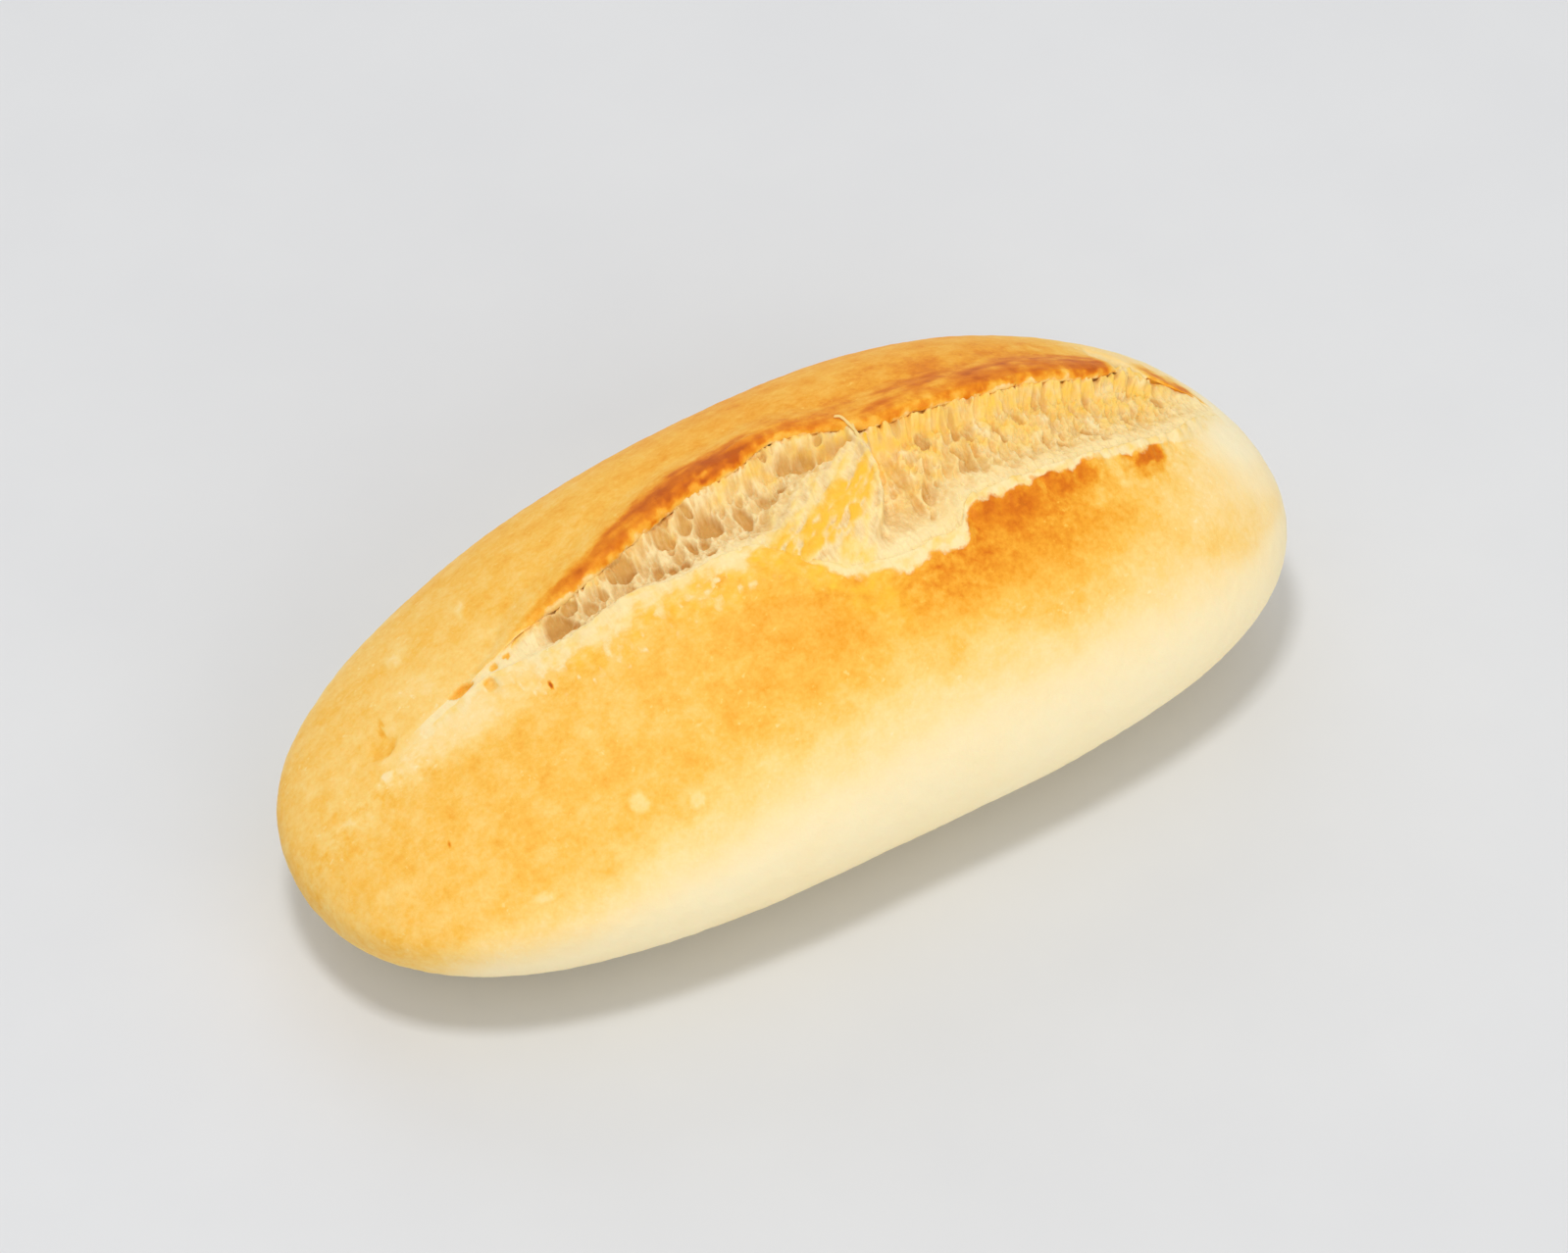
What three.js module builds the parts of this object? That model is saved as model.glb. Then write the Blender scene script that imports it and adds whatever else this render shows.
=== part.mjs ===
// A short, plump baguette with one long score along its crown. Millimetres, +Z up.
// It lies on its flat base with its length along X; -Y is the side that the score opens towards,
// and the origin is the middle of the base.
import * as THREE from "three";
import { ParametricGeometry } from "three/addons/geometries/ParametricGeometry.js";
import { mergeVertices } from "three/addons/utils/BufferGeometryUtils.js";

// Loaf: the smooth body that the score is cut in.
const LENGTH = 170;
const WIDTH = 80;
const CROWN_HEIGHT = 56; // base to the top of the smooth crown
const WAIST_HEIGHT = 21; // height of the widest line, at mid length
const TIP_HEIGHT = 18; // height of the two end points
const BASE_SINK = 2.5; // how far the round underside is pressed flat by the oven floor
const CROWN_AT = 0.22; // place of the crown, as a share of the half length
const CROWN_FALL = { left: 0.7, right: 0.52 }; // how fast the crown falls towards each end
const END_FULLNESS = { left: 2.7, frontRight: 2.9, backRight: 2.8 }; // 2 is an ellipse; more is blunter
const END_ROUNDING = 2.3;
const SECTION_FULLNESS = 2.1;
const BOW = 3; // sideways bow of the middle against the ends
const BOW_NODE = 0.4; // squared share of the half length where the bow crosses the centre line

// Score lines: [distance along X, share of the half width towards the back].
const EAR_LINE = [
  [-85, 0.2], [-60, 0.17], [-47, 0.15], [-42, 0.185], [-36, 0.198], [-30, 0.203], [-20, 0.24], [-10, 0.268],
  [-4, 0.252], [4, 0.262], [12, 0.19], [18, 0.12], [24, 0.125], [33, 0.12], [38, 0.115], [46, 0.14],
  [57, 0.145], [63, 0.175], [68, 0.165], [74, 0.08], [79, -0.04], [85, -0.06],
];
const LIP_LINE = [
  [-85, 0.1], [-60, 0.12], [-52, 0.12], [-44, 0.03], [-38, -0.02], [-27, -0.04], [-21, -0.105],
  [-12, -0.145], [-8, -0.18], [-4, -0.32], [2, -0.44], [10, -0.49], [19, -0.488], [24, -0.387],
  [40, -0.385], [54, -0.367], [62, -0.35], [68, -0.27], [73, -0.18], [79, -0.12], [85, -0.12],
];

// Relief of the score: [distance along X, millimetres].
const CRUMB_DEPTH = [
  [-48, 0], [-44.5, 0.9], [-41, 2.1], [-36, 2.9], [-28, 3.7], [-10, 4.4], [8, 5], [14, 6.4], [20, 5.6],
  [30, 4], [52, 3.8], [66, 2.8], [78, 0],
];
const EAR_LIFT = [
  [-58, 0], [-46, 0.5], [-28, 1.4], [-8, 1.8], [14, 1.3], [42, 1.4], [62, 1], [78, 0],
];
const EAR_ROLL = [
  [-60, 0.7], [-44, 1], [-30, 1.4], [-20, 1.6], [-8, 1.7], [-3, 1.5], [3, 1], [12, 0.9], [24, 1.2],
  [50, 1.2], [66, 0.8], [78, 0.5],
]; // radius of the rolled edge
const LIP_LIFT = [[-56, 0], [-44, 0.25], [-12, 0.4], [2, 0.8], [60, 0.8], [78, 0]];
const EAR_SWEEP = 205; // degrees that the roll turns, from its crest round to its underside
const EAR_REACH = 0.5; // how far the roll's centre leans out over the crumb
const EAR_SLOPE = 8; // width of the rise behind the ear
const CRUMB_NEAR = 0.6; // share of the depth that the crumb has under the ear
const CRUMB_LOW = 0.8; // and where it lies lowest
const CRUMB_LOW_AT = 0.6; // share of the way from ear to lip at which that is
const CRUMB_CLIMB = 0.85; // how much of the depth the crumb climbs back before the lip
const CRUMB_INSET = { ear: 0.2, lip: 0.9 }; // crumb's clearance from the two score lines
const LIP_INSET = 0.4;
const LIP_SLOPE = 5; // width of the fall in front of the lip
const FULL_GAP = 10; // the score's rims reach full width where it is open at least this far
const FULL_DEPTH = 3; // and it counts as fully open where it is this deep
const LUMP = 0.55; // height of the crumb's coarse swellings

// Tongue: the strap of crust that still bridges the score, broad at its root.
const TONGUE_ROOT = new THREE.Vector2(-3, -12.8);
const TONGUE_TIP = new THREE.Vector2(15.8, 3.2);
const TONGUE_HALF_WIDTH = { root: 8, tip: 0.9 };
const TONGUE_FALL = { left: [0.6, 1.25], right: [0.25, 1.08] }; // its edges, in shares of the half width
const TONGUE_MARGIN = 0.4;
const TONGUE_RISE = 0.3;

// Mesh steps.
const LENGTH_STEPS = 94;
const END_CROWDING = 8; // higher keeps the length steps even until nearer the ends
const SLOPE_STEPS = 3;
const ROLL_STEPS = 6;
const CRUMB_STEPS = 11;
const LIP_STEPS = 4;
const CRUST_STEPS = 23;
const CRUST_START = THREE.MathUtils.degToRad(122); // turn at which the plain crust takes over from the lip
const CRUST_END = THREE.MathUtils.degToRad(420); // and where the ear's slope takes over from it
const CRUST_SETTLE = 5; // higher lets the plain crust forget the score lines sooner

const HALF_LENGTH = LENGTH / 2;
const HALF_WIDTH = WIDTH / 2;
const { lerp, smoothstep, degToRad, clamp } = THREE.MathUtils;

/** Value at x of a smooth curve through [x, value] points that never overshoots them. */
function through(points, x) {
  const last = points.length - 1;
  if (x <= points[0][0]) return points[0][1];
  if (x >= points[last][0]) return points[last][1];
  const chord = (k) => (points[k + 1][1] - points[k][1]) / (points[k + 1][0] - points[k][0]);
  const slope = (k) => {
    if (k === 0 || k === last) return 0;
    const before = chord(k - 1);
    const after = chord(k);
    return before * after > 0 ? (2 * before * after) / (before + after) : 0;
  };
  const i = points.findIndex(([at]) => at > x) - 1;
  const span = points[i + 1][0] - points[i][0];
  const t = (x - points[i][0]) / span;
  const ease = t * t * (3 - 2 * t);
  const bend = t * (1 - t) * span;
  return lerp(points[i][1], points[i + 1][1], ease) + bend * ((1 - t) * slope(i) - t * slope(i + 1));
}

/** Point of the smooth loaf: along runs -1 to 1, and turn goes from the back over the crown. */
function smoothLoaf(along, turn) {
  const across = Math.cos(turn);
  const up = Math.sin(turn);
  const frontness = smoothstep(-across, -1, 1);
  const rightFullness = lerp(END_FULLNESS.backRight, END_FULLNESS.frontRight, frontness);
  const fullness = along < 0 ? END_FULLNESS.left : rightFullness;
  const girth = Math.pow(Math.max(0, 1 - Math.pow(Math.abs(along), fullness)), 1 / END_ROUNDING);
  const fall = along < CROWN_AT ? CROWN_FALL.left : CROWN_FALL.right;
  const crown = Math.exp(-fall * (along - CROWN_AT) ** 2);
  const waist = lerp(TIP_HEIGHT, WAIST_HEIGHT, girth);
  const height = up > 0 ? (CROWN_HEIGHT - WAIST_HEIGHT) * crown : -(waist + BASE_SINK);
  const reach = Math.sign(across) * Math.pow(Math.abs(across), 2 / SECTION_FULLNESS);
  const y = HALF_WIDTH * girth * reach - BOW * (along * along - BOW_NODE);
  const z = waist + girth * height * Math.pow(Math.abs(up), 2 / SECTION_FULLNESS);
  return new THREE.Vector3(HALF_LENGTH * along, y, Math.max(0, z));
}

/** Outward direction of the smooth loaf, square to the surface. */
function outward(along, turn) {
  const step = 0.004;
  const lengthwise = smoothLoaf(along + step, turn).sub(smoothLoaf(along - step, turn));
  const round = smoothLoaf(along, turn + step).sub(smoothLoaf(along, turn - step));
  return lengthwise.cross(round).normalize().negate();
}

/** Turn at which the loaf's upper side reaches a share of its half width. */
function turnAt(share) {
  const held = clamp(share, -1, 1);
  return Math.acos(Math.sign(held) * Math.pow(Math.abs(held), SECTION_FULLNESS / 2));
}

/** How far the point lies inside the bridging tongue of crust: 1 on it, 0 off it. */
function tongueAt(x, y) {
  const axis = TONGUE_TIP.clone().sub(TONGUE_ROOT);
  const offset = new THREE.Vector2(x, y).sub(TONGUE_ROOT);
  const share = offset.dot(axis) / axis.lengthSq();
  const aside = offset.cross(axis) / axis.length();
  const halfWidth = lerp(TONGUE_HALF_WIDTH.root, TONGUE_HALF_WIDTH.tip, clamp(share, 0, 1) ** 2);
  const beyond = Math.max(0, share - 1) * axis.length();
  const [inner, outer] = aside > 0 ? TONGUE_FALL.right : TONGUE_FALL.left;
  return 1 - smoothstep(Math.hypot(aside, beyond), inner * halfWidth, outer * halfWidth + TONGUE_MARGIN);
}

/** Coarse swellings of the torn crumb, from -1 to 1. */
function lumps(x, y) {
  const broad = Math.sin(x / 3.1 + 0.6 * Math.sin(y / 2.7));
  const fine = Math.sin(x / 1.9 - y / 2.2 + 1.3);
  return 0.6 * broad * Math.cos(y / 3.4) + 0.4 * fine;
}

/** Share of the depth at which the crumb lies, from under the ear (0) to the lip (1). */
function crumbProfile(t) {
  const sinking = lerp(CRUMB_NEAR, CRUMB_LOW, smoothstep(t, 0, CRUMB_LOW_AT));
  return sinking * (1 - CRUMB_CLIMB * smoothstep(t, CRUMB_LOW_AT, 1));
}

/**
 * The stations round one ring of the loaf, in order from behind the ear over the crown. Each has its
 * kind, the share of the way through that kind, the score line it follows (gap 0 is the ear's, 1 is
 * the lip's) and its offset in front of that line.
 */
function ringStations() {
  const stations = [];
  for (let i = 0; i < SLOPE_STEPS; i += 1) {
    const t = i / SLOPE_STEPS;
    stations.push({ kind: "slope", t, gap: 0, offset: -EAR_SLOPE * (1 - t) });
  }
  for (let i = 0; i <= ROLL_STEPS; i += 1) {
    stations.push({ kind: "roll", t: i / ROLL_STEPS, gap: 0, offset: 0 });
  }
  for (let i = 0; i <= CRUMB_STEPS; i += 1) {
    const t = i / CRUMB_STEPS;
    stations.push({ kind: "crumb", t, gap: t, offset: lerp(CRUMB_INSET.ear, -CRUMB_INSET.lip, t) });
  }
  for (let i = 0; i <= LIP_STEPS; i += 1) {
    const t = i / LIP_STEPS;
    stations.push({ kind: "lip", t, gap: 1, offset: lerp(-LIP_INSET, LIP_SLOPE, t) });
  }
  for (let i = 1; i <= CRUST_STEPS; i += 1) {
    stations.push({ kind: "plain", t: i / (CRUST_STEPS + 1) });
  }
  return stations;
}

const STATIONS = ringStations();

/** Relief of the opened score at one station: lift out of the smooth loaf, and reach over the crumb. */
function reliefAt(station, x, y) {
  const { kind, t } = station;
  const depth = through(CRUMB_DEPTH, x);
  const openness = Math.min(1, depth / FULL_DEPTH);
  const earLift = through(EAR_LIFT, x);
  if (kind === "slope") return { lift: smoothstep(t, 0, 1) * earLift, over: 0 };
  if (kind === "roll") {
    const radius = through(EAR_ROLL, x);
    const angle = degToRad(90 - EAR_SWEEP * t);
    const drop = radius * (1 - Math.sin(angle));
    const reach = EAR_REACH * (1 - smoothstep(t, 0.5, 1));
    return { lift: earLift - drop * openness, over: (reach + radius * Math.cos(angle)) * openness };
  }
  const swelling = LUMP * openness * Math.sin(Math.PI * t) * lumps(x, y);
  const crumb = swelling - depth * crumbProfile(t);
  const lip = (1 - smoothstep(t, 0, 1)) * through(LIP_LIFT, x);
  const bridged = tongueAt(x, y) * openness;
  return { lift: lerp(kind === "crumb" ? crumb : lip, TONGUE_RISE, bridged), over: 0 };
}

/** Place one station of the ring at a distance along the loaf. */
function loafPoint(along, station) {
  const x = HALF_LENGTH * along;
  const ear = through(EAR_LINE, x);
  const lip = through(LIP_LINE, x);
  const rim = Math.min(1, ((ear - lip) * HALF_WIDTH) / FULL_GAP) / HALF_WIDTH;
  if (station.kind === "plain") {
    const { t } = station;
    const fromLip = turnAt(lip - LIP_SLOPE * rim) - CRUST_START;
    const fromEar = turnAt(ear + EAR_SLOPE * rim) + 2 * Math.PI - CRUST_END;
    const drift = fromLip * (1 - t) ** CRUST_SETTLE + fromEar * t ** CRUST_SETTLE;
    return smoothLoaf(along, lerp(CRUST_START, CRUST_END, t) + drift);
  }
  const turn = turnAt(lerp(ear, lip, station.gap) - station.offset * rim);
  const point = smoothLoaf(along, turn);
  const out = outward(along, turn);
  const forward = new THREE.Vector3(1, 0, 0).cross(out).normalize();
  const { lift, over } = reliefAt(station, x, point.y);
  return point.addScaledVector(out, lift).addScaledVector(forward, over);
}

/** Closed skin of the whole loaf. */
function loafGeometry() {
  const ring = STATIONS.length;
  const surface = new ParametricGeometry((u, v, target) => {
    const t = 2 * v - 1;
    const along = t * (1 + (1 - Math.abs(t) ** END_CROWDING) / END_CROWDING);
    target.copy(loafPoint(along, STATIONS[Math.round(u * ring) % ring]));
  }, ring, LENGTH_STEPS);
  surface.deleteAttribute("normal");
  surface.deleteAttribute("uv");
  const welded = mergeVertices(surface, 1e-3);
  const index = [];
  for (let i = 0; i < welded.index.count; i += 3) {
    const [a, b, c] = [0, 1, 2].map((k) => welded.index.getX(i + k));
    if (a !== b && b !== c && c !== a) index.push(a, b, c);
  }
  welded.setIndex(index);
  welded.computeBoundingBox();
  const middle = welded.boundingBox.getCenter(new THREE.Vector3());
  welded.translate(-middle.x, -middle.y, -welded.boundingBox.min.z);
  welded.computeVertexNormals();
  return welded;
}

const crust = new THREE.MeshStandardMaterial({ color: 0xd9a04e, roughness: 0.72, metalness: 0 });
const loaf = new THREE.Mesh(loafGeometry(), crust);
loaf.name = "loaf";

const group = new THREE.Group();
group.add(loaf);

export default group;
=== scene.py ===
"""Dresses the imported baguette: its browned crust, the torn crumb in its score, and the studio round it."""
import logging
import math
from dataclasses import dataclass, field
from enum import Enum

import bpy
import numpy as np
from mathutils import Matrix, Vector


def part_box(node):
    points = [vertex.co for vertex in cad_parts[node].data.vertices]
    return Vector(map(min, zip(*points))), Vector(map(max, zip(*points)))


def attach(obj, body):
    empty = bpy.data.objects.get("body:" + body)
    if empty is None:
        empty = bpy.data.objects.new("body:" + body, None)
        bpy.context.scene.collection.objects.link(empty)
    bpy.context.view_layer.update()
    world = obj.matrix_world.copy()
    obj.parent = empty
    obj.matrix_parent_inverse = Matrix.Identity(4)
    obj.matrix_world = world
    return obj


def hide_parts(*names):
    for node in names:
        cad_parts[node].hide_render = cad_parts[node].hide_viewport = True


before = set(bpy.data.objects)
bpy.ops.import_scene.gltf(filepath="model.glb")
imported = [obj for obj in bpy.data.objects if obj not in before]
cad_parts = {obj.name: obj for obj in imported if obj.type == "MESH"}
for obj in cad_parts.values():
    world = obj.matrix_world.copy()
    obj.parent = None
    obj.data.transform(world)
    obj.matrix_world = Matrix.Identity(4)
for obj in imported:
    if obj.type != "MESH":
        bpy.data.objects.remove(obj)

log = logging.getLogger("baguette")
Array = np.ndarray
MM = 0.001
NODE = "loaf"
BODY = "root"
FAR = 60.0  # a gap in millimetres at which an edge no longer shows
VALUES = ("browning", "torn", "wall", "toast", "grit", "fibre")  # what the finish reads


# ---------------------------------------------------------------- number helpers


def ease(values: Array, low: float, high: float) -> Array:
    """Smooth step: 0 below low, 1 above high, and 3t^2 - 2t^3 between them.

    Args:
        values: where to evaluate the step.
        low: value at which it starts to rise (may be above high, to fall instead).
        high: value at which it is complete.

    Returns:
        The step's height, between 0 and 1.
    """
    t = np.clip((values - low) / (high - low), 0.0, 1.0)
    return t * t * (3.0 - 2.0 * t)


def mix(first: Array, second: Array, share: Array) -> Array:
    """Straight blend: first where share is 0, second where it is 1."""
    return first + (second - first) * share


@dataclass(frozen=True)
class Line:
    """A smooth curve through (place, value) points that never overshoots them."""

    points: tuple[tuple[float, float], ...]

    def at(self, x: Array) -> Array:
        """Cubic Hermite curve whose slope at a point is the harmonic mean of its two chords.

        Args:
            x: places along the loaf, in millimetres.

        Returns:
            The curve's value at each place; beyond the ends it stays level.
        """
        px, py = np.array(self.points, float).T
        chord = np.diff(py) / np.diff(px)
        before, after = chord[:-1], chord[1:]
        same_way = before * after > 0
        inner = np.where(same_way, 2 * before * after / np.where(same_way, before + after, 1.0), 0.0)
        slope = np.concatenate([[0.0], inner, [0.0]])
        held = np.clip(x, px[0], px[-1])
        i = np.clip(np.searchsorted(px, held, side="right") - 1, 0, len(px) - 2)
        span = px[i + 1] - px[i]
        t = (held - px[i]) / span
        rise = t * t * (3 - 2 * t)
        bend = t * (1 - t) * span * ((1 - t) * slope[i] - t * slope[i + 1])
        return mix(py[i], py[i + 1], rise) + bend


class Grain:
    """Seeded noise in space, the same on every run.

    A number added to the places gives another noise of the same kind.
    """

    def __init__(self, seed: int) -> None:
        """Draws the shuffled lattice and its directions from one seed."""
        rng = np.random.default_rng(seed)
        self.order = np.tile(rng.permutation(256), 3)
        directions = rng.normal(size=(256, 3))
        self.directions = directions / np.linalg.norm(directions, axis=1, keepdims=True)
        self.jitter = rng.random((256, 3))

    def _cell(self, lattice: Array) -> Array:
        """Table index of each whole-number lattice point."""
        x, y, z = np.moveaxis(lattice & 255, -1, 0)
        return self.order[self.order[self.order[x] + y] + z]

    def soft(self, points: Array, size: float | tuple[float, float, float]) -> Array:
        """Gradient noise: random slopes at lattice points, blended by 6t^5 - 15t^4 + 10t^3.

        Args:
            points: places, last axis x, y, z, in millimetres.
            size: width of one swelling, in millimetres, or one width for each axis.

        Returns:
            Noise of about -1 to 1, one number per point.
        """
        scaled = points / np.asarray(size, float)
        base = np.floor(scaled).astype(int)
        t = scaled - base
        blend = t * t * t * (t * (t * 6 - 15) + 10)
        total = np.zeros(points.shape[:-1])
        for corner in np.ndindex(2, 2, 2):
            step = np.array(corner)
            slope = self.directions[self._cell(base + step)]
            weight = np.prod(np.where(step == 1, blend, 1 - blend), axis=-1)
            total += weight * np.sum(slope * (t - step), axis=-1)
        return total * 1.6

    def rough(self, points: Array, size: float, layers: int = 3) -> Array:
        """Layers of soft noise, each half as wide and half as strong as the one before."""
        return sum(self.soft(points + 17.3 * k, size / 2**k) / 2**k for k in range(layers))

    def along(self, x: Array, size: float, lane: float) -> Array:
        """Soft noise that varies along the loaf only; each lane is a different one."""
        return self.soft(np.stack([x, np.full_like(x, lane), np.zeros_like(x)], axis=-1), (size, 1.0, 1.0))

    def bubbles(self, flat: Array, size: tuple[float, float]) -> tuple[Array, Array]:
        """Round pores about scattered seeds: each cell has one, of its own random width.

        Args:
            flat: places on the surface, last axis along and across, in millimetres.
            size: width of a cell along and across.

        Returns:
            How deep inside a pore each place is, from 0 outside to 1 in its middle, and a random
            number for that pore.
        """
        scaled = flat / np.asarray(size, float)
        base = np.floor(scaled).astype(int)
        depth = np.zeros(flat.shape[:-1])
        chosen = depth.copy()
        for dx, dy in np.ndindex(3, 3):
            seed = base + (dx - 1, dy - 1)
            lattice = np.concatenate([seed, np.zeros_like(seed[..., :1])], axis=-1)
            index = self._cell(lattice)
            place = seed + 0.1 + 0.8 * self.jitter[index, :2]
            luck = self.jitter[index, 2]
            radius = 0.22 + 0.4 * luck
            inside = ease(np.linalg.norm(scaled - place, axis=-1), radius, 0.3 * radius)
            deeper = inside > depth
            chosen = np.where(deeper, luck, chosen)
            depth = np.where(deeper, inside, depth)
        return depth, chosen


# ---------------------------------------------------------------- the loaf's form


@dataclass(frozen=True)
class LoafForm:
    """The smooth loaf, in millimetres, before it is scored.

    A section is a blunt ellipse pressed flat underneath. Its girth falls to the two ends as
    (1 - |along|^fullness)^(1/rounding), and its crown falls from its peak as a bell curve.
    """

    length: float
    width: float
    crown_share: float = 0.7  # crown height as a share of the width
    waist_share: float = 0.2625
    tip_share: float = 0.225
    base_sink: float = 2.5
    crown_at: float = 0.22
    crown_fall_left: float = 0.7
    crown_fall_right: float = 0.52
    left_fullness: float = 2.7
    front_right_fullness: float = 2.9
    back_right_fullness: float = 2.8
    end_rounding: float = 2.3
    section_fullness: float = 2.1
    bow: float = 3.0
    bow_node: float = 0.4

    @property
    def half_width(self) -> float:
        """Half of the loaf's width."""
        return self.width / 2

    @property
    def middle(self) -> float:
        """How far the bowed loaf's middle stands back from the line through its box's centre."""
        return self.bow * self.bow_node

    def smooth(self, along: Array, turn: Array) -> Array:
        """Point of the smooth skin.

        Args:
            along: -1 at the left tip to 1 at the right tip.
            turn: angle round the section, 0 at the back, a quarter turn at the crown.

        Returns:
            Points x, y, z in millimetres, in the part's frame.
        """
        along, turn = np.broadcast_arrays(along, turn)
        across, up = np.cos(turn), np.sin(turn)
        frontness = ease(-across, -1, 1)
        right = mix(self.back_right_fullness, self.front_right_fullness, frontness)
        fullness = np.where(along < 0, self.left_fullness, right)
        girth = np.maximum(0, 1 - np.abs(along) ** fullness) ** (1 / self.end_rounding)
        fall = np.where(along < self.crown_at, self.crown_fall_left, self.crown_fall_right)
        crown = np.exp(-fall * (along - self.crown_at) ** 2)
        waist = self.width * mix(self.tip_share, self.waist_share, girth)
        top = self.width * (self.crown_share - self.waist_share) * crown
        height = np.where(up > 0, top, -(waist + self.base_sink))
        power = 2 / self.section_fullness
        y = self.half_width * girth * np.sign(across) * np.abs(across) ** power
        y = y - self.bow * (along**2 - self.bow_node) - self.middle
        z = np.maximum(0, waist + girth * height * np.abs(up) ** power)
        return np.stack([self.length / 2 * along, y, z], axis=-1)

    def outward(self, along: Array, turn: Array) -> Array:
        """Unit normal of the smooth skin, from small steps along it and round it.

        Args:
            along: -1 at the left tip to 1 at the right tip.
            turn: angle round the section.

        Returns:
            The outward direction at each place.
        """
        step = 0.004
        held = np.clip(along, -1 + 2 * step, 1 - 2 * step)
        lengthwise = self.smooth(held + step, turn) - self.smooth(held - step, turn)
        sideways = self.smooth(held, turn + step) - self.smooth(held, turn - step)
        normal = -np.cross(lengthwise, sideways)
        return normal / np.maximum(np.linalg.norm(normal, axis=-1, keepdims=True), 1e-9)

    def forward(self, out: Array) -> Array:
        """Unit direction square to the loaf's length and to out, towards the front."""
        ahead = np.cross(np.array([1.0, 0.0, 0.0]), out)
        return ahead / np.maximum(np.linalg.norm(ahead, axis=-1, keepdims=True), 1e-9)

    def turn_at(self, share: Array) -> Array:
        """Turn at which the upper side reaches a share of its half width."""
        held = np.clip(share, -1, 1)
        return np.arccos(np.sign(held) * np.abs(held) ** (self.section_fullness / 2))


@dataclass(frozen=True)
class Tongue:
    """The strap of crust that still bridges the score: broad at its root, narrow at its tip."""

    root: tuple[float, float] = (-3.0, -12.8)
    tip: tuple[float, float] = (15.8, 3.2)
    root_half_width: float = 8.0
    tip_half_width: float = 0.9
    left_fall: tuple[float, float] = (0.6, 1.8)  # shares of its half width between which its left edge falls
    right_fall: tuple[float, float] = (0.9, 1.25)
    margin: float = 0.4  # and both edges fall over these millimetres more
    rise: float = 0.3
    fringe_y: float = -12.1  # the crust ends at this line, and slopes up to the right of fringe_x
    fringe_x: float = 5.0
    fringe_slope: float = 0.8
    fringe_blur: float = 1.6
    bare_climb: float = 1.3  # how fast the bare left margin widens from root to tip
    bare_start: float = -0.85
    bare_limits: tuple[float, float] = (-0.9, 0.2)

    @property
    def reach(self) -> float:
        """Distance from root to tip."""
        return float(np.hypot(*np.subtract(self.tip, self.root)))

    def place(self, x: Array, y: Array) -> tuple[Array, Array]:
        """Where a place lies on the strap.

        Args:
            x: places along the loaf.
            y: places across it, measured as on a straight loaf.

        Returns:
            The share of the way from root to tip, and the distance to the strap's right as a
            share of its half width there.
        """
        axis = np.subtract(self.tip, self.root)
        dx, dy = x - self.root[0], y - self.root[1]
        share = (dx * axis[0] + dy * axis[1]) / self.reach**2
        return share, (dx * axis[1] - dy * axis[0]) / self.reach / self.half(share)

    def half(self, share: Array) -> Array:
        """Half width, which narrows with the square of the share of the way."""
        return mix(self.root_half_width, self.tip_half_width, np.clip(share, 0, 1) ** 2)

    def at(self, x: Array, y: Array) -> Array:
        """Mask of the strap, 1 on its back and 0 off it.

        Args:
            x: places along the loaf.
            y: places across it, measured as on a straight loaf.

        Returns:
            The mask, which falls more softly on the strap's left than on its right.
        """
        share, aside = self.place(x, y)
        half = self.half(share)
        beyond = np.maximum(0, share - 1) * self.reach
        distance = np.hypot(aside * half, beyond)
        right = aside > 0
        inner = np.where(right, self.right_fall[0], self.left_fall[0])
        outer = np.where(right, self.right_fall[1], self.left_fall[1])
        return ease(distance, outer * half + self.margin, inner * half)

    def crust(self, x: Array, y: Array, warp: Array) -> Array:
        """Where the strap bears golden crust: 1, but 0 on its left margin and on its torn fringe.

        Args:
            x: places along the loaf.
            y: places across it, measured as on a straight loaf.
            warp: noise that frays the crust's outline.

        Returns:
            How far each place is crusted, 0 to 1.
        """
        share, aside = self.place(x, y)
        fringe = y - self.fringe_y - self.fringe_slope * np.maximum(0, x - self.fringe_x) + 0.8 * warp
        bare = np.clip(self.bare_climb * share + self.bare_start, *self.bare_limits)
        golden = ease(aside + 0.35 * warp - bare, -0.38, 0.34) * ease(aside + 0.25 * warp, 1.1, 0.6)
        return golden * ease(fringe, -self.fringe_blur, self.fringe_blur)


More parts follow.
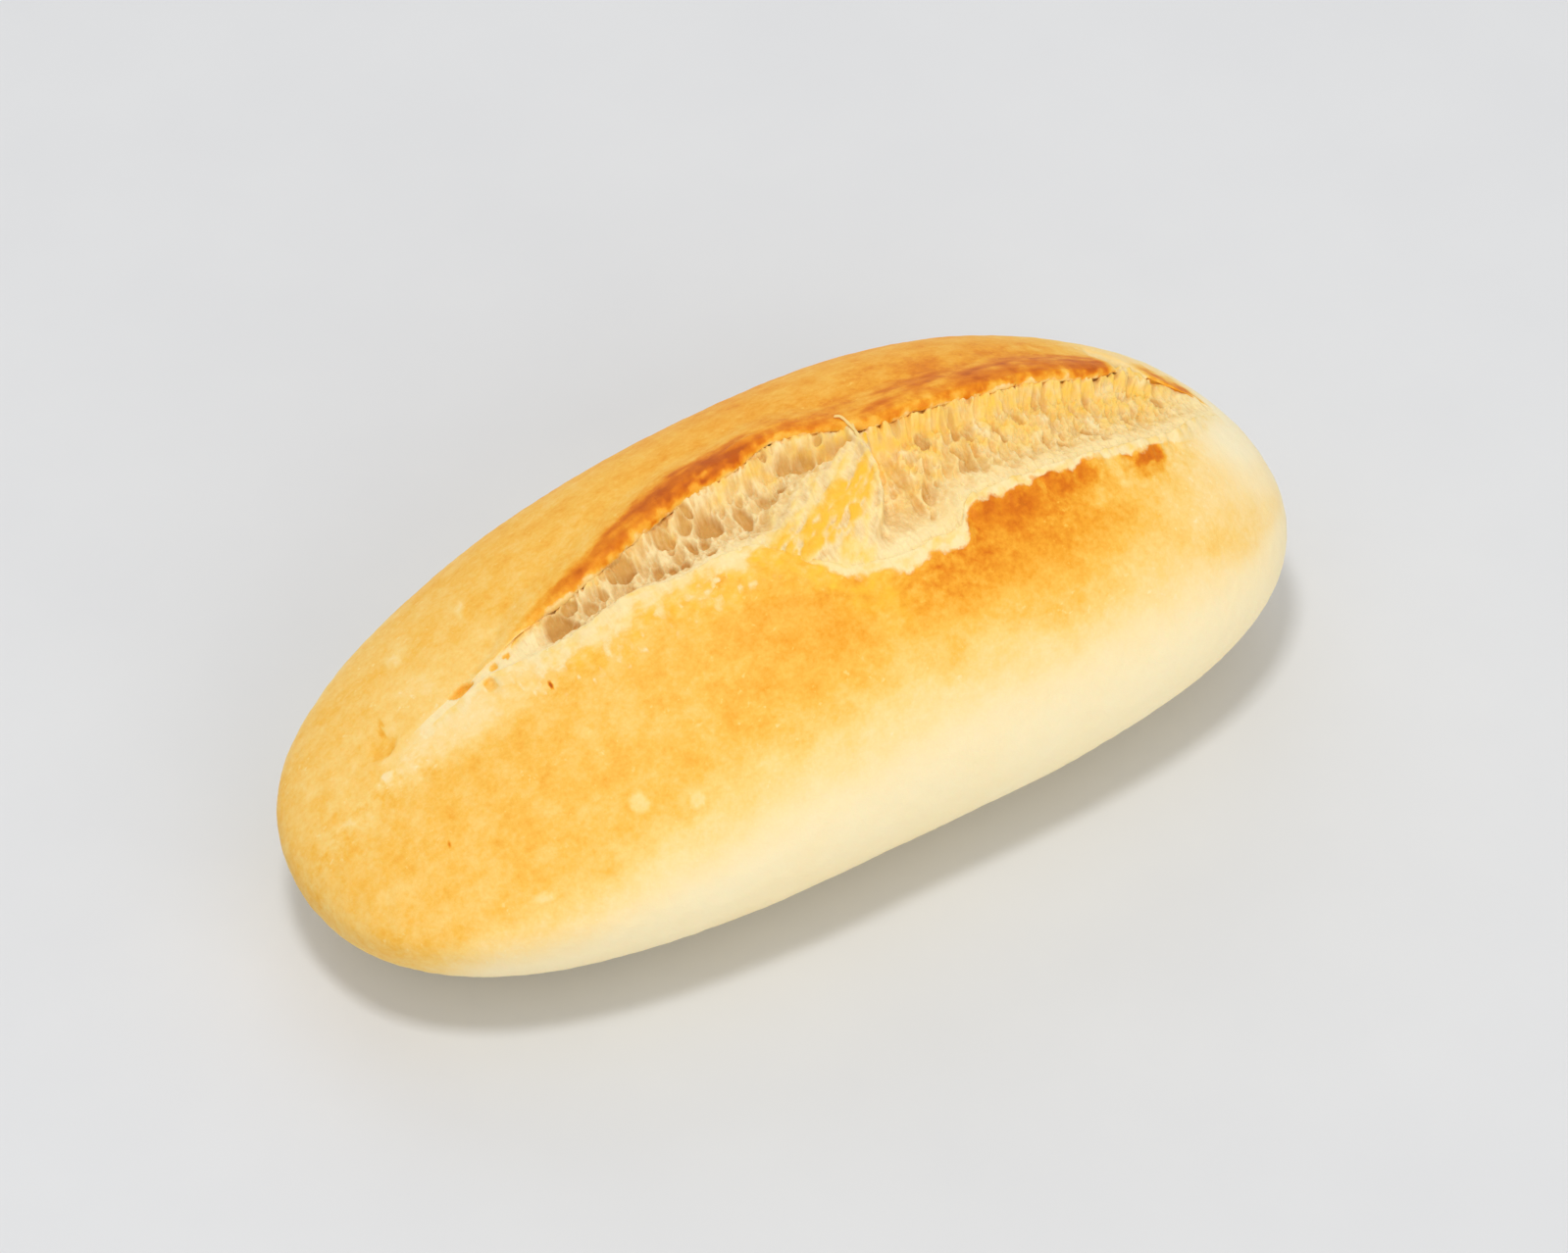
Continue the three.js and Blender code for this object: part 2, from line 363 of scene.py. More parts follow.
@dataclass(frozen=True)
class Score:
    """The long score: where its two edges run, how deep it is and how its ear lifts."""

    # The two edges are shares of the half width; all other curves are in millimetres.
    ear_line: Line = Line((
        (-85, 0.2), (-60, 0.17), (-47, 0.15), (-42, 0.185), (-36, 0.198), (-30, 0.203), (-20, 0.24),
        (-10, 0.268), (-4, 0.252), (4, 0.262), (12, 0.19), (18, 0.12), (24, 0.125), (33, 0.12), (38, 0.115),
        (46, 0.14), (57, 0.145), (63, 0.175), (68, 0.165), (74, 0.08), (79, -0.04), (85, -0.06),
    ))
    lip_line: Line = Line((
        (-85, 0.1), (-60, 0.12), (-52, 0.12), (-44, 0.03), (-38, -0.02), (-27, -0.04), (-21, -0.105),
        (-12, -0.145), (-8, -0.18), (-4, -0.32), (2, -0.44), (10, -0.49), (19, -0.488), (24, -0.387),
        (40, -0.385), (54, -0.367), (62, -0.35), (68, -0.27), (73, -0.18), (79, -0.12), (85, -0.12),
    ))
    depth: Line = Line((
        (-46.5, 0), (-43.5, 0.8), (-40.5, 2.1), (-36, 2.9), (-28, 3.7), (-10, 4.4), (8, 5), (14, 6.4),
        (20, 5.6), (30, 4), (52, 3.8), (66, 2.8), (78, 0),
    ))
    ear_lift: Line = Line((
        (-58, 0), (-46, 0.5), (-28, 1.4), (-8, 1.8), (14, 1.3), (42, 1.4), (62, 1), (78, 0),
    ))
    ear_roll: Line = Line((
        (-60, 0.7), (-44, 1), (-30, 1.4), (-20, 1.6), (-8, 1.7), (-3, 1.5), (3, 1), (12, 0.9), (24, 1.2),
        (50, 1.2), (61, 0.9), (64, 0.2), (68, 0.2), (71, 0.5), (78, 0.3),
    ))  # radius of the ear's rolled edge
    lip_lift: Line = Line(((-56, 0), (-44, 0.25), (-12, 0.4), (2, 0.8), (60, 0.8), (78, 0)))
    ear_sweep: float = 205.0  # degrees that the ear's edge rolls round
    ear_reach: float = 0.5  # how far its roll overhangs the crumb
    ear_slope: float = 8.0  # width of the rise behind it
    lip_slope: float = 5.0  # and of the fall in front of the lip
    crumb_near: float = 0.6  # share of the depth under the ear
    crumb_low: float = 0.8  # and where the crumb lies lowest
    crumb_low_at: float = 0.6
    crumb_climb: float = 0.95  # how much of it the crumb climbs back before the lip
    full_depth: float = 3.0  # from this depth on the score counts as fully open
    full_gap: float = 10.0  # and from this width on nothing on its rims is pinched
    lump: float = 0.55  # height of the crumb's coarse swellings
    wander: float = 0.3  # how far the two edges stray
    tongue: Tongue = Tongue()

    def edges(self, form: LoafForm, x: Array, grain: Grain) -> tuple[Array, Array]:
        """The ear's and the lip's lines with their small strayings, as shares of the half width.

        Args:
            form: the loaf that is scored.
            x: places along it.
            grain: noise for the strayings.

        Returns:
            The ear's line and the lip's line.
        """
        stray = self.wander / form.half_width
        ear = self.ear_line.at(x) + stray * (grain.along(x, 4.1, 3.0) + 0.6 * grain.along(x, 1.5, 8.0))
        lip = self.lip_line.at(x) + stray * (grain.along(x, 3.3, 13.0) + 0.6 * grain.along(x, 1.2, 18.0))
        return ear, lip

    def rim(self, form: LoafForm, x: Array) -> Array:
        """Half-width shares that one millimetre takes across, pinched where the score is narrow."""
        gap = (self.ear_line.at(x) - self.lip_line.at(x)) * form.half_width
        return np.minimum(1, gap / self.full_gap) / form.half_width

    def openness(self, x: Array) -> Array:
        """1 where the score is open, falling to 0 at its two ends."""
        return np.minimum(1, self.depth.at(x) / self.full_depth)

    def profile(self, where: Array) -> Array:
        """Share of the depth at which the crumb lies, from under the ear (0) to the lip (1)."""
        sinking = mix(self.crumb_near, self.crumb_low, ease(where, 0, self.crumb_low_at))
        return sinking * (1 - self.crumb_climb * ease(where, self.crumb_low_at, 1))

    def lumps(self, x: Array, y: Array, where: Array) -> Array:
        """Coarse swellings of the crumb, in millimetres: waves along and across, none at its edges.

        Args:
            x: places along the loaf.
            y: places across it.
            where: share of the way from the ear to the lip.

        Returns:
            How far the crumb swells at each place.
        """
        broad = np.sin(x / 3.1 + 0.6 * np.sin(y / 2.7)) * np.cos(y / 3.4)
        fine = np.sin(x / 1.9 - y / 2.2 + 1.3)
        swelling = np.sin(math.pi * np.clip(where, 0, 1)) * (0.6 * broad + 0.4 * fine)
        return self.lump * self.openness(x) * swelling


@dataclass(frozen=True)
class Mark:
    """One small feature of the skin: where it is, its size, and what it does there."""

    x: float
    turn: float  # degrees round the section
    half_along: float
    half_across: float
    lean: float = 0.0  # degrees that it is turned from the loaf's length
    rise: float = 0.0  # millimetres outwards
    bake: float = 0.0  # how much darker
    bare: float = 0.0  # how much more torn
    deep: float = 0.0  # browned fibres
    thick: float = 6.0  # how far out of the skin it counts

    def over(self, form: LoafForm, points: Array, ravel: Array) -> Array:
        """Mask of the mark: 1 inside its oval, falling over a third of its size.

        Args:
            form: the loaf whose skin it lies on.
            points: places on the skin.
            ravel: noise that roughens its outline.

        Returns:
            The mask at each place.
        """
        along, turn = np.array(self.x * 2 / form.length), np.array(math.radians(self.turn))
        middle = form.smooth(along, turn)
        out = form.outward(along, turn)
        ahead = form.forward(out)
        offset = points - middle
        side = np.cross(out, ahead)
        u, v = offset @ side, offset @ ahead
        cos, sin = math.cos(math.radians(self.lean)), math.sin(math.radians(self.lean))
        u, v = u * cos + v * sin, v * cos - u * sin
        w = offset @ out / self.thick
        reach = np.sqrt((u / self.half_along) ** 2 + (v / self.half_across) ** 2 + w**2)
        return ease(reach + 0.22 * ravel, 1.15, 0.7)


MARKS = (
    # The first four are holes along the closed score: dents painted darker, painted shade in them.
    Mark(-53.8, 82.0, 2.2, 0.8, lean=4, rise=-0.9, bake=0.2, bare=-1),
    Mark(-50.3, 86.3, 1.2, 1.05, rise=-0.8, bake=0.16, bare=-1),
    Mark(-48.3, 83.4, 0.8, 0.65, rise=-0.5, bake=0.16, bare=-1),
    Mark(-46.1, 83.4, 0.7, 0.5, rise=-0.4, bake=0.14, bare=-1),
    Mark(-45.6, 59.8, 1.2, 1.2, rise=0.12, bake=-0.2),
    Mark(-57.1, 54.1, 1.3, 1.6, rise=0.1, bake=-0.16),
    Mark(-42.9, 136.9, 1.6, 1.5, rise=0.14, bake=-0.2),
    Mark(-35.2, 144.4, 1.2, 1.2, rise=0.1, bake=-0.16),
    # Wrinkles at the left end: creases painted darker, painted shade in them.
    Mark(-66.8, 77.0, 2.6, 1.6, rise=-0.25, bake=0.14),
    Mark(-65.3, 71.5, 0.35, 1.9, lean=30, rise=-0.2, bake=0.22),
    Mark(-68.9, 85.2, 1.1, 0.9, rise=0.08, bake=-0.25),
    Mark(-60.6, 152.0, 1.7, 0.8, lean=20, rise=0.1, bake=-0.15),
    Mark(-43.9, 96.6, 0.4, 0.4, rise=-0.2, bake=1.2, bare=-1),
    Mark(-68.0, 117.0, 0.26, 0.26, rise=-0.1, bake=0.8, bare=-1),
    Mark(65.7, 78.0, 3.2, 8.5, lean=-8, rise=-0.8, bare=1.0, deep=0.3),
    Mark(0.6, 75.0, 3.0, 0.8, lean=-6, rise=0.25, bake=-0.2),
    # Painted highlight: paler crust for the gloss on the right end.
    Mark(79.5, 90.0, 3.5, 6.0, bake=-0.12),
)


# ---------------------------------------------------------------- meshes


class Surface:
    """A closed skin made of rings, one ring per step along it, with named values at its points."""

    def __init__(self, rings: Array, values: dict[str, Array]) -> None:
        """Keeps points (steps, round, 3) in millimetres, and values (steps, round)."""
        self.rings = rings
        self.values = values

    @classmethod
    def facing_out(cls, rings: Array, values: dict[str, Array]) -> "Surface":
        """The same with every ring run the other way, for rings whose faces would point inwards."""
        return cls(rings[:, ::-1], {key: value[:, ::-1] for key, value in values.items()})

    def faces(self, offset: int) -> tuple[Array, Array]:
        """Quads that join neighbouring rings, and a fan of triangles that closes each end.

        Args:
            offset: number of the surface's first point in the mesh.

        Returns:
            The point numbers of the quads (n, 4) and of the triangles (m, 3).
        """
        steps, around = self.rings.shape[:2]
        step, turn = np.meshgrid(np.arange(steps - 1), np.arange(around), indexing="ij")
        here, there = step * around + turn, step * around + (turn + 1) % around
        quads = np.stack([here, there, there + around, here + around], axis=-1).reshape(-1, 4)
        ring = np.arange(around)
        following = (ring + 1) % around
        first, last = steps * around, steps * around + 1
        end = (steps - 1) * around
        near = np.stack([np.full(around, first), following, ring], axis=-1)
        far = np.stack([np.full(around, last), end + ring, end + following], axis=-1)
        return quads + offset, np.concatenate([near, far]) + offset

    def points(self) -> Array:
        """Every ring's points, then the middles of the two end rings."""
        ends = np.stack([self.rings[0].mean(0), self.rings[-1].mean(0)])
        return np.concatenate([self.rings.reshape(-1, 3), ends])

    def numbers(self, key: str) -> Array:
        """One named value in the order of the points."""
        value = self.values[key]
        return np.concatenate([value.ravel(), [value[0].mean(), value[-1].mean()]])


def build_piece(name: str, surfaces: list[Surface], low: Vector, high: Vector) -> bpy.types.Object:
    """Makes one smooth shaded object of closed surfaces.

    Args:
        name: the new object's name.
        surfaces: the closed skins that it holds.
        low: lowest corner that no point may pass, in metres.
        high: highest corner that no point may pass, in metres.

    Returns:
        The object, at the origin.
    """
    points = np.concatenate([surface.points() for surface in surfaces]) * MM
    points = np.clip(points, np.array(low), np.array(high))
    counts = [surface.rings.shape[0] * surface.rings.shape[1] + 2 for surface in surfaces]
    offsets = np.concatenate([[0], np.cumsum(counts)[:-1]])
    faces = [surface.faces(int(offset)) for surface, offset in zip(surfaces, offsets)]
    quads = np.concatenate([pair[0] for pair in faces])
    fans = np.concatenate([pair[1] for pair in faces])
    loops = np.concatenate([quads.ravel(), fans.ravel()])
    sizes = np.concatenate([np.full(len(quads), 4), np.full(len(fans), 3)])
    mesh = bpy.data.meshes.new(name)
    mesh.vertices.add(len(points))
    mesh.vertices.foreach_set("co", points.ravel())
    mesh.loops.add(len(loops))
    mesh.loops.foreach_set("vertex_index", loops.astype(np.int32))
    mesh.polygons.add(len(sizes))
    starts = np.concatenate([[0], np.cumsum(sizes)[:-1]])
    mesh.polygons.foreach_set("loop_start", starts.astype(np.int32))
    mesh.polygons.foreach_set("use_smooth", np.ones(len(sizes), bool))
    mesh.update(calc_edges=True)
    for key in VALUES:
        layer = mesh.attributes.new(key, "FLOAT", "POINT")
        numbers = np.concatenate([surface.numbers(key) for surface in surfaces])
        layer.data.foreach_set("value", numbers.astype(np.float32))
    mesh.validate()
    piece = bpy.data.objects.new(name, mesh)
    bpy.context.scene.collection.objects.link(piece)
    return piece


@dataclass(frozen=True)
class Tint:
    """An oval of paler or darker crust: its middle, its half sizes and how far it shifts the shade."""

    x: float
    middle: float  # across, in the same unit as half_across
    half_along: float
    half_across: float
    bake: float
    full: float  # share of its size within which it is complete
    gone: float = 1.2  # and outside which it has gone
    lean: float = 0.0
    ragged: float = 0.0

    def over(self, x: Array, across: Array, speckle: Array) -> Array:
        """The shift of shade at places along and across, its outline roughened by the speckle.

        Args:
            x: places along the loaf.
            across: places across it or round it, in the unit of the middle.
            speckle: noise that roughens the outline.

        Returns:
            How much to add to the shade.
        """
        ahead = x - self.x
        aside = across - self.middle + self.lean * ahead
        reach = np.hypot(ahead / self.half_along, aside / self.half_across)
        return self.bake * ease(reach + self.ragged * speckle, self.gone, self.full)


@dataclass(frozen=True)
class Browning:
    """How far each place of the crust has baked, from 0 (pale dough) to 1 (dark brown)."""

    front: Line = Line((
        (-85, 0.47), (-60, 0.51), (-36, 0.52), (-20, 0.57), (-8, 0.62), (4, 0.7), (12, 0.75), (28, 0.76),
        (40, 0.68), (50, 0.52), (60, 0.37), (68, 0.24), (76, 0.1), (85, 0.04),
    ))
    back: Line = Line((
        (-85, 0.45), (-62, 0.46), (-36, 0.52), (-12, 0.58), (14, 0.64), (48, 0.64), (56, 0.58), (64, 0.38),
        (70, 0.22), (78, 0.1), (85, 0.04),
    ))
    full_turn: Line = Line((
        (-85, 162), (-72, 152), (-60, 143), (-36, 135), (-12, 126), (12, 120), (44, 121), (60, 126),
        (85, 130),
    ))  # degrees round at which the front starts to fade
    pale_turn: Line = Line((
        (-85, 226), (-72, 206), (-60, 196), (-36, 177), (0, 175), (44, 174), (60, 176), (85, 190),
    ))  # and at which it has faded
    back_turn: tuple[float, float] = (30.0, -14.0)  # the same two behind
    crown_turn: tuple[float, float] = (70.0, 105.0)  # and where the back's shade gives way to the front's
    tip_along: tuple[float, float] = (-68.0, -82.0)  # where the left tip fades by height instead
    tip_height: tuple[float, float] = (4.0, 17.0)
    pale: float = 0.03
    sole: float = 0.56  # the flat base
    under_ear: float = 0.58  # what the ear's shade fades to down its rolled edge
    ear: Line = Line((
        (-60, 0.42), (-48, 0.45), (-43, 0.5), (-40, 0.7), (-36, 0.78), (-30, 0.82), (-22, 0.88),
        (-15, 0.93), (-8, 0.98), (-3, 0.95), (5, 0.85), (12, 0.78), (18, 0.76), (26, 0.8), (36, 0.84),
        (46, 0.86), (54, 0.87), (61, 0.94), (63.5, 0.4), (68, 0.35), (70, 0.76), (75, 0.76), (77.5, 0.2),
    ))
    ear_band: Line = Line((
        (-60, 0.2), (-44, 0.3), (-36, 0.5), (-30, 0.9), (-23, 1.8), (-16, 2.5), (-6, 2.4), (4, 2.0),
        (12, 3.0), (18, 6.0), (30, 8.0), (50, 8.0), (61, 4.5), (66, 3.0), (70, 6.5), (75, 6.5), (78, 3.0),
    ))  # millimetres that the ear's dark band reaches back
    patch: Line = Line((
        (14, 0.0), (18, 0.04), (22, 0.06), (24, 0.12), (29, 0.13), (34, 0.09), (35.5, 0.02), (37, 0.17),
        (43, 0.2), (46, 0.06), (48.5, -0.1), (50.5, 0.0), (52.5, 0.32), (58, 0.4), (60, 0.04), (61.5, 0.04),
        (63, 0.25), (65, 0.0),
    ))  # how much darker the lip's patches are, and how far they reach in front of it
    patch_reach: Line = Line((
        (18, 3.0), (24, 5.2), (34, 5.4), (38, 4.6), (44, 4.2), (50, 4.8), (57, 5.2), (63, 2.0),
    ))
    trail: Tint = Tint(-57, -1, 15, 5, bake=-0.2, full=0.3, gone=1.3, lean=0.167, ragged=0.2)
    halo: Tint = Tint(-54, 5.7, 14, 9, bake=-0.1, full=0.3)
    glow: Tint = Tint(68, 147, 17, 13, bake=0.14, full=0.1)
    # Painted highlight: a paler spot for the gloss on the right end's upper front.
    painted_highlight: Tint = Tint(74, 112, 10, 16, bake=-0.12, full=0.2)

    def at(self, points: Array, turn: Array, ear_gap: Array, lip_gap: Array,
           grain: Grain) -> Array:
        """Adds up the crust's shades.

        The crown's browning fades down both sides, is deepest in a band behind the ear's edge
        and in patches below the lip, and is weak along the pale trail where the score has closed.

        Args:
            points: places on the crust.
            turn: angle round the section, in degrees, from -90 to 270.
            ear_gap: millimetres behind the ear's edge.
            lip_gap: millimetres in front of the lip.
            grain: noise that breaks the shades up.

        Returns:
            Browning at each place.
        """
        x, y, z = np.moveaxis(points, -1, 0)
        cloud = grain.rough(points, 16.0, 3)
        speckle = grain.rough(points + 60, 2.6, 2)
        shade = self.body(x, z, turn, cloud)
        # The tints: the pale trail, the halo, the glow and the painted highlight.
        for tint, across in ((self.trail, y), (self.halo, y), (self.glow, turn), (self.painted_highlight, turn)):
            shade = shade + tint.over(x, across, speckle)
        squeezed = points / (3.0, 1.0, 1.0)
        streak = grain.soft(squeezed, 1.7) + 0.5 * grain.soft(squeezed + 8, 0.8)
        reach = self.ear_band.at(x) * (1 + 0.45 * streak)
        band = ease(ear_gap + 0.5 * speckle, 1.7 * reach + 0.8, 0.3 * reach - 0.4)
        band = band * ease(x, -60, -46) * ease(x, 79, 76)
        shade = mix(shade, self.ear.at(x) + 0.09 * speckle + 0.12 * streak, band)
        reach = self.patch_reach.at(x)
        near_lip = ease(lip_gap + 1.1 * speckle, reach + 1.3, reach - 1.3) * ease(lip_gap, -0.5, 0.6)
        shade = shade + self.patch.at(x) * near_lip * (0.55 + 0.65 * ease(speckle, -0.3, 0.3))
        return shade + 0.03 * cloud

    def body(self, x: Array, z: Array, turn: Array, cloud: Array) -> Array:
        """The shade of the plain loaf: browned on its crown, pale low down, toasted on its base.

        Args:
            x: places along the loaf.
            z: their height.
            turn: angle round the section, in degrees.
            cloud: noise that shifts the fading.

        Returns:
            Browning at each place.
        """
        crown = mix(self.back.at(x), self.front.at(x), ease(turn, *self.crown_turn))
        front = ease(turn + 5 * cloud, self.pale_turn.at(x), self.full_turn.at(x))
        back = ease(turn + 5 * cloud, self.back_turn[1], self.back_turn[0])
        side = np.where(turn > 90, front, back)
        tip = ease(z + 2.5 * cloud, *self.tip_height)
        shade = mix(self.pale, crown, mix(side, tip, ease(x, *self.tip_along)))
        return mix(shade, self.sole, ease(z, 1.6, 0.1) * ease(turn, 0, -20))


class Part(Enum):
    """The stretches of the scored band, from behind the ear to past the lip."""

    SLOPE = 0
    ROLL = 1
    VALLEY = 2
    CREST = 3


@dataclass(frozen=True)
class SkinGrid:
    """Where the skin's points lie before its relief: a row for each ring, its scored band first."""

    along: Array  # -1 at the left tip to 1 at the right tip
    x: Array
    ear: Array  # the score's two edges, as shares of the half width
    lip: Array
    pinch: Array  # 1, but less where the score is narrow
    openness: Array
    part: Array  # the number of each column's stretch of the band
    step: Array  # and the share of the way through it
    offset: Array  # millimetres in front of the nearer edge, before pinching
    band_turn: Array  # angle round the section, on the band and on the crust round the rest
    plain_turn: Array
    band: Array  # the band's points
    straight_y: Array  # and how far across they lie, measured as on a straight loaf
    ragged: Array  # noise that frays its two edges

    @property
    def turn(self) -> Array:
        """Angle round the section on every column."""
        return np.concatenate([self.band_turn, self.plain_turn], axis=1)

    def on(self, *parts: Part) -> Array:
        """Which of the band's columns belong to these stretches."""
        return np.isin(self.part, [part.value for part in parts])

    def whole(self, band: Array) -> Array:
        """Numbers for every column, from those on the band: 0 on the rest of the crust."""
        rest = np.zeros(self.plain_turn.shape)
        return np.concatenate([np.broadcast_to(band, self.band_turn.shape), rest], axis=1)


@dataclass
class CrustSkin:
    """The whole browned skin, with the ear, the lip and an empty valley under the crumb."""

    form: LoafForm
    score: Score
    browning: Browning = field(default_factory=Browning)
    length_steps: int = 478
    end_crowding: float = 8.0
    slope_steps: int = 22
    roll_steps: int = 22
    valley_steps: int = 6
    lip_steps: int = 28
    front_steps: int = 68
    under_steps: int = 22
    back_steps: int = 36
    crust_start: float = 122.0  # degrees round at which even steps of plain crust start and end
    crust_end: float = 420.0
    roll_forward: float = 0.3  # how far the ear's rolled edge steps forward, in millimetres
    valley_end: float = -0.7  # the valley ends and the crest starts so far in front of the lip
    crest_start: float = -0.4
    valley_sink: float = 3.0  # how far the skin lies under the crumb
    settle: float = 5.0  # how soon the columns of plain crust settle into even steps
    torn_from: tuple[float, float] = (-68.0, -56.0)  # where torn dough starts and ends along the score
    torn_to: tuple[float, float] = (80.0, 70.0)
    golden_from: tuple[float, float] = (-46.0, -34.0)  # and the golden crust in front of the lip
    golden_to: tuple[float, float] = (12.0, 2.0)
    burr: float = 0.75  # how torn the ear's rolled edge is at most
    swell: float = 0.35  # slow rise and fall of the skin, and its small bumps
    pimple: float = 0.07
    cream: Line = Line((
        (-68, 0.3), (-60, 1.8), (-50, 3.2), (-42, 4.2), (-36, 4.4), (-30, 4.2), (-26, 4.8), (-22, 3.2),
        (-17, 2.9), (-12, 3.6), (-9.5, 1.4), (-7.5, 0.3), (-5, 0.3), (-2, 1.4), (3, 1.9), (10, 1.7),
        (20, 1.2), (50, 1.0), (60, 1.4), (72, 3.0),
    ))  # width of the pale torn rim in front of the lip

    def stations(self) -> tuple[Array, Array]:
        """The number of each band column's stretch, and the share of the way through it."""
        counts = (self.slope_steps, self.roll_steps, self.valley_steps, self.lip_steps)
        steps = [np.linspace(0, 1, n, endpoint=kind > 1) for kind, n in enumerate(counts)]
        return np.repeat(range(4), counts)[None, :], np.concatenate(steps)[None, :]

    def plain_turns(self) -> Array:
        """Shares of the way round the unscored crust: fine in front, coarser underneath and behind."""
        cuts = np.radians([self.crust_start, 200.0, 340.0, self.crust_end])
        counts = (self.front_steps, self.under_steps, self.back_steps)
        parts = [np.linspace(a, b, n, endpoint=False) for a, b, n in zip(cuts, cuts[1:], counts)]
        turns = np.concatenate(parts)
        return ((turns - cuts[0]) / (cuts[-1] - cuts[0]))[None, 1:]

    def lay_out(self, grain: Grain) -> SkinGrid:
        """Places the rings and columns: rings crowd to the tips as t + t(1 - |t|^k)/k.

        Args:
            grain: noise that makes the score's edges stray and frays them.

        Returns:
            The grid, whose columns follow the two edges and settle into even steps away from them.
        """
        form, score = self.form, self.score
        t = np.linspace(-1, 1, self.length_steps + 2)[1:-1]
        along = (t * (1 + (1 - np.abs(t) ** self.end_crowding) / self.end_crowding))[:, None]
        x = form.length / 2 * along
        ear, lip = score.edges(form, x, grain)
        rim = score.rim(form, x)
        part, step = self.stations()
        slope, roll, valley = (part == k.value for k in (Part.SLOPE, Part.ROLL, Part.VALLEY))
        offset = np.select([slope, roll, valley], [
            -score.ear_slope * (1 - step),
            self.roll_forward * step,
            mix(self.roll_forward, self.valley_end, step),
        ], mix(self.crest_start, score.lip_slope, step))
        gap = np.select([slope | roll, valley], [0 * step, step], 1.0)
        band_turn = form.turn_at(mix(ear, lip, gap) - offset * rim)
        plain = self.plain_turns()
        start, end = np.radians(self.crust_start), np.radians(self.crust_end)
        from_lip = form.turn_at(lip - score.lip_slope * rim) - start
        from_ear = form.turn_at(ear + score.ear_slope * rim) + 2 * math.pi - end
        drift = from_lip * (1 - plain) ** self.settle + from_ear * plain**self.settle
        plain_turn = mix(start, end, plain) + drift
        band = form.smooth(along, band_turn)
        ragged = grain.soft(band, (2.6, 9, 9)) * 0.28 + grain.soft(band + 31, (1.1, 4, 4)) * 0.16
        return SkinGrid(
            along=along, x=x, ear=ear, lip=lip, pinch=rim * form.half_width, openness=score.openness(x),
            part=part, step=step, offset=offset, band_turn=band_turn, plain_turn=plain_turn, band=band,
            straight_y=band[..., 1] + form.middle, ragged=ragged * (1 + ease(x, 14, 20)),
        )

    def build(self, grain: Grain) -> Surface:
        """Shapes the skin: the smooth loaf moved out and forward by the score's relief.

        Args:
            grain: noise for the skin's swellings and ragged edges.

        Returns:
            The closed surface with its browning and torn-dough values.
        """
        form, grid = self.form, self.lay_out(grain)
        out = form.outward(grid.along, grid.turn)
        band_out = out[:, : grid.band.shape[1]]
        lift, over = self.relief(grid)
        band = grid.band + band_out * lift[..., None] + form.forward(band_out) * over[..., None]
        points = np.concatenate([band, form.smooth(grid.along, grid.plain_turn)], axis=1)

        swelling = -self.swell * (0.5 + 0.5 * grain.rough(points, 22.0, 2)) - self.pimple
        swelling = swelling + self.pimple * grain.rough(points + 9, 2.4, 2)
        ravel = grain.rough(points + 5, 1.4, 2)
        masks = [mark.over(form, points, ravel) for mark in MARKS]
        swelling = swelling + sum(mark.rise * mask for mark, mask in zip(MARKS, masks))
        points = points + out * (swelling * ease(points[..., 2], 0.0, 2.5))[..., None]
        values = self.looks(grid, points, band, masks, grain)
        return Surface.facing_out(points, values)

    def relief(self, grid: SkinGrid) -> tuple[Array, Array]:
        """How far the band moves: the ear lifts and rolls over, the valley sinks, the lip rises.

        Args:
            grid: the skin's places.

        Returns:
            The millimetres outwards, and forwards over the score.
        """
        score, step, openness, ragged = self.score, grid.step, grid.openness, grid.ragged
        behind, roll, valley = grid.on(Part.SLOPE, Part.ROLL), grid.on(Part.ROLL), grid.on(Part.VALLEY)
        radius = score.ear_roll.at(grid.x)
        angle = np.radians(90 - score.ear_sweep * step)
        rise = np.where(grid.on(Part.SLOPE), ease(step, 0, 1), 1.0)
        ear = rise * score.ear_lift.at(grid.x) - np.where(roll, radius * (1 - np.sin(angle)), 0) * openness
        ear = ear + np.where(roll, ragged * step, 0) * openness
        floor = -score.depth.at(grid.x) * score.profile(step) - self.valley_sink * openness
        crest = (1 - ease(step, 0, 1)) * (score.lip_lift.at(grid.x) + 1.4 * ragged * openness)
        lift = np.select([behind, valley], [ear, floor], crest)
        bridged = np.where(behind, 0, score.tongue.at(grid.x, grid.straight_y)) * openness
        lift = mix(lift, np.where(valley, -self.valley_sink, score.tongue.rise), bridged)
        over = score.ear_reach * (1 - ease(step, 0.5, 1)) + radius * np.cos(angle) - self.roll_forward * step
        return lift, np.where(roll, over, 0) * openness * (1 + 0.5 * ragged)

    def gaps(self, grid: SkinGrid) -> tuple[Array, Array]:
        """Millimetres behind the ear's edge and in front of the lip, far where neither is near.

        Args:
            grid: the skin's places.

        Returns:
            The gap behind the ear and the gap in front of the lip, for every column.
        """
        half_width, far = self.form.half_width, np.full(grid.plain_turn.shape, FAR)
        across = np.cos(grid.plain_turn)
        behind = np.where(grid.plain_turn > math.pi * 1.5, half_width * (across - grid.ear), far)
        before = np.where(grid.plain_turn < math.pi, half_width * (grid.lip - across), far)
        ear_gap = np.where(grid.on(Part.SLOPE, Part.ROLL), -grid.offset * grid.pinch, FAR)
        lip_gap = np.where(grid.on(Part.CREST), grid.offset * grid.pinch, FAR)
        return np.concatenate([ear_gap, behind], axis=1), np.concatenate([lip_gap, before], axis=1)

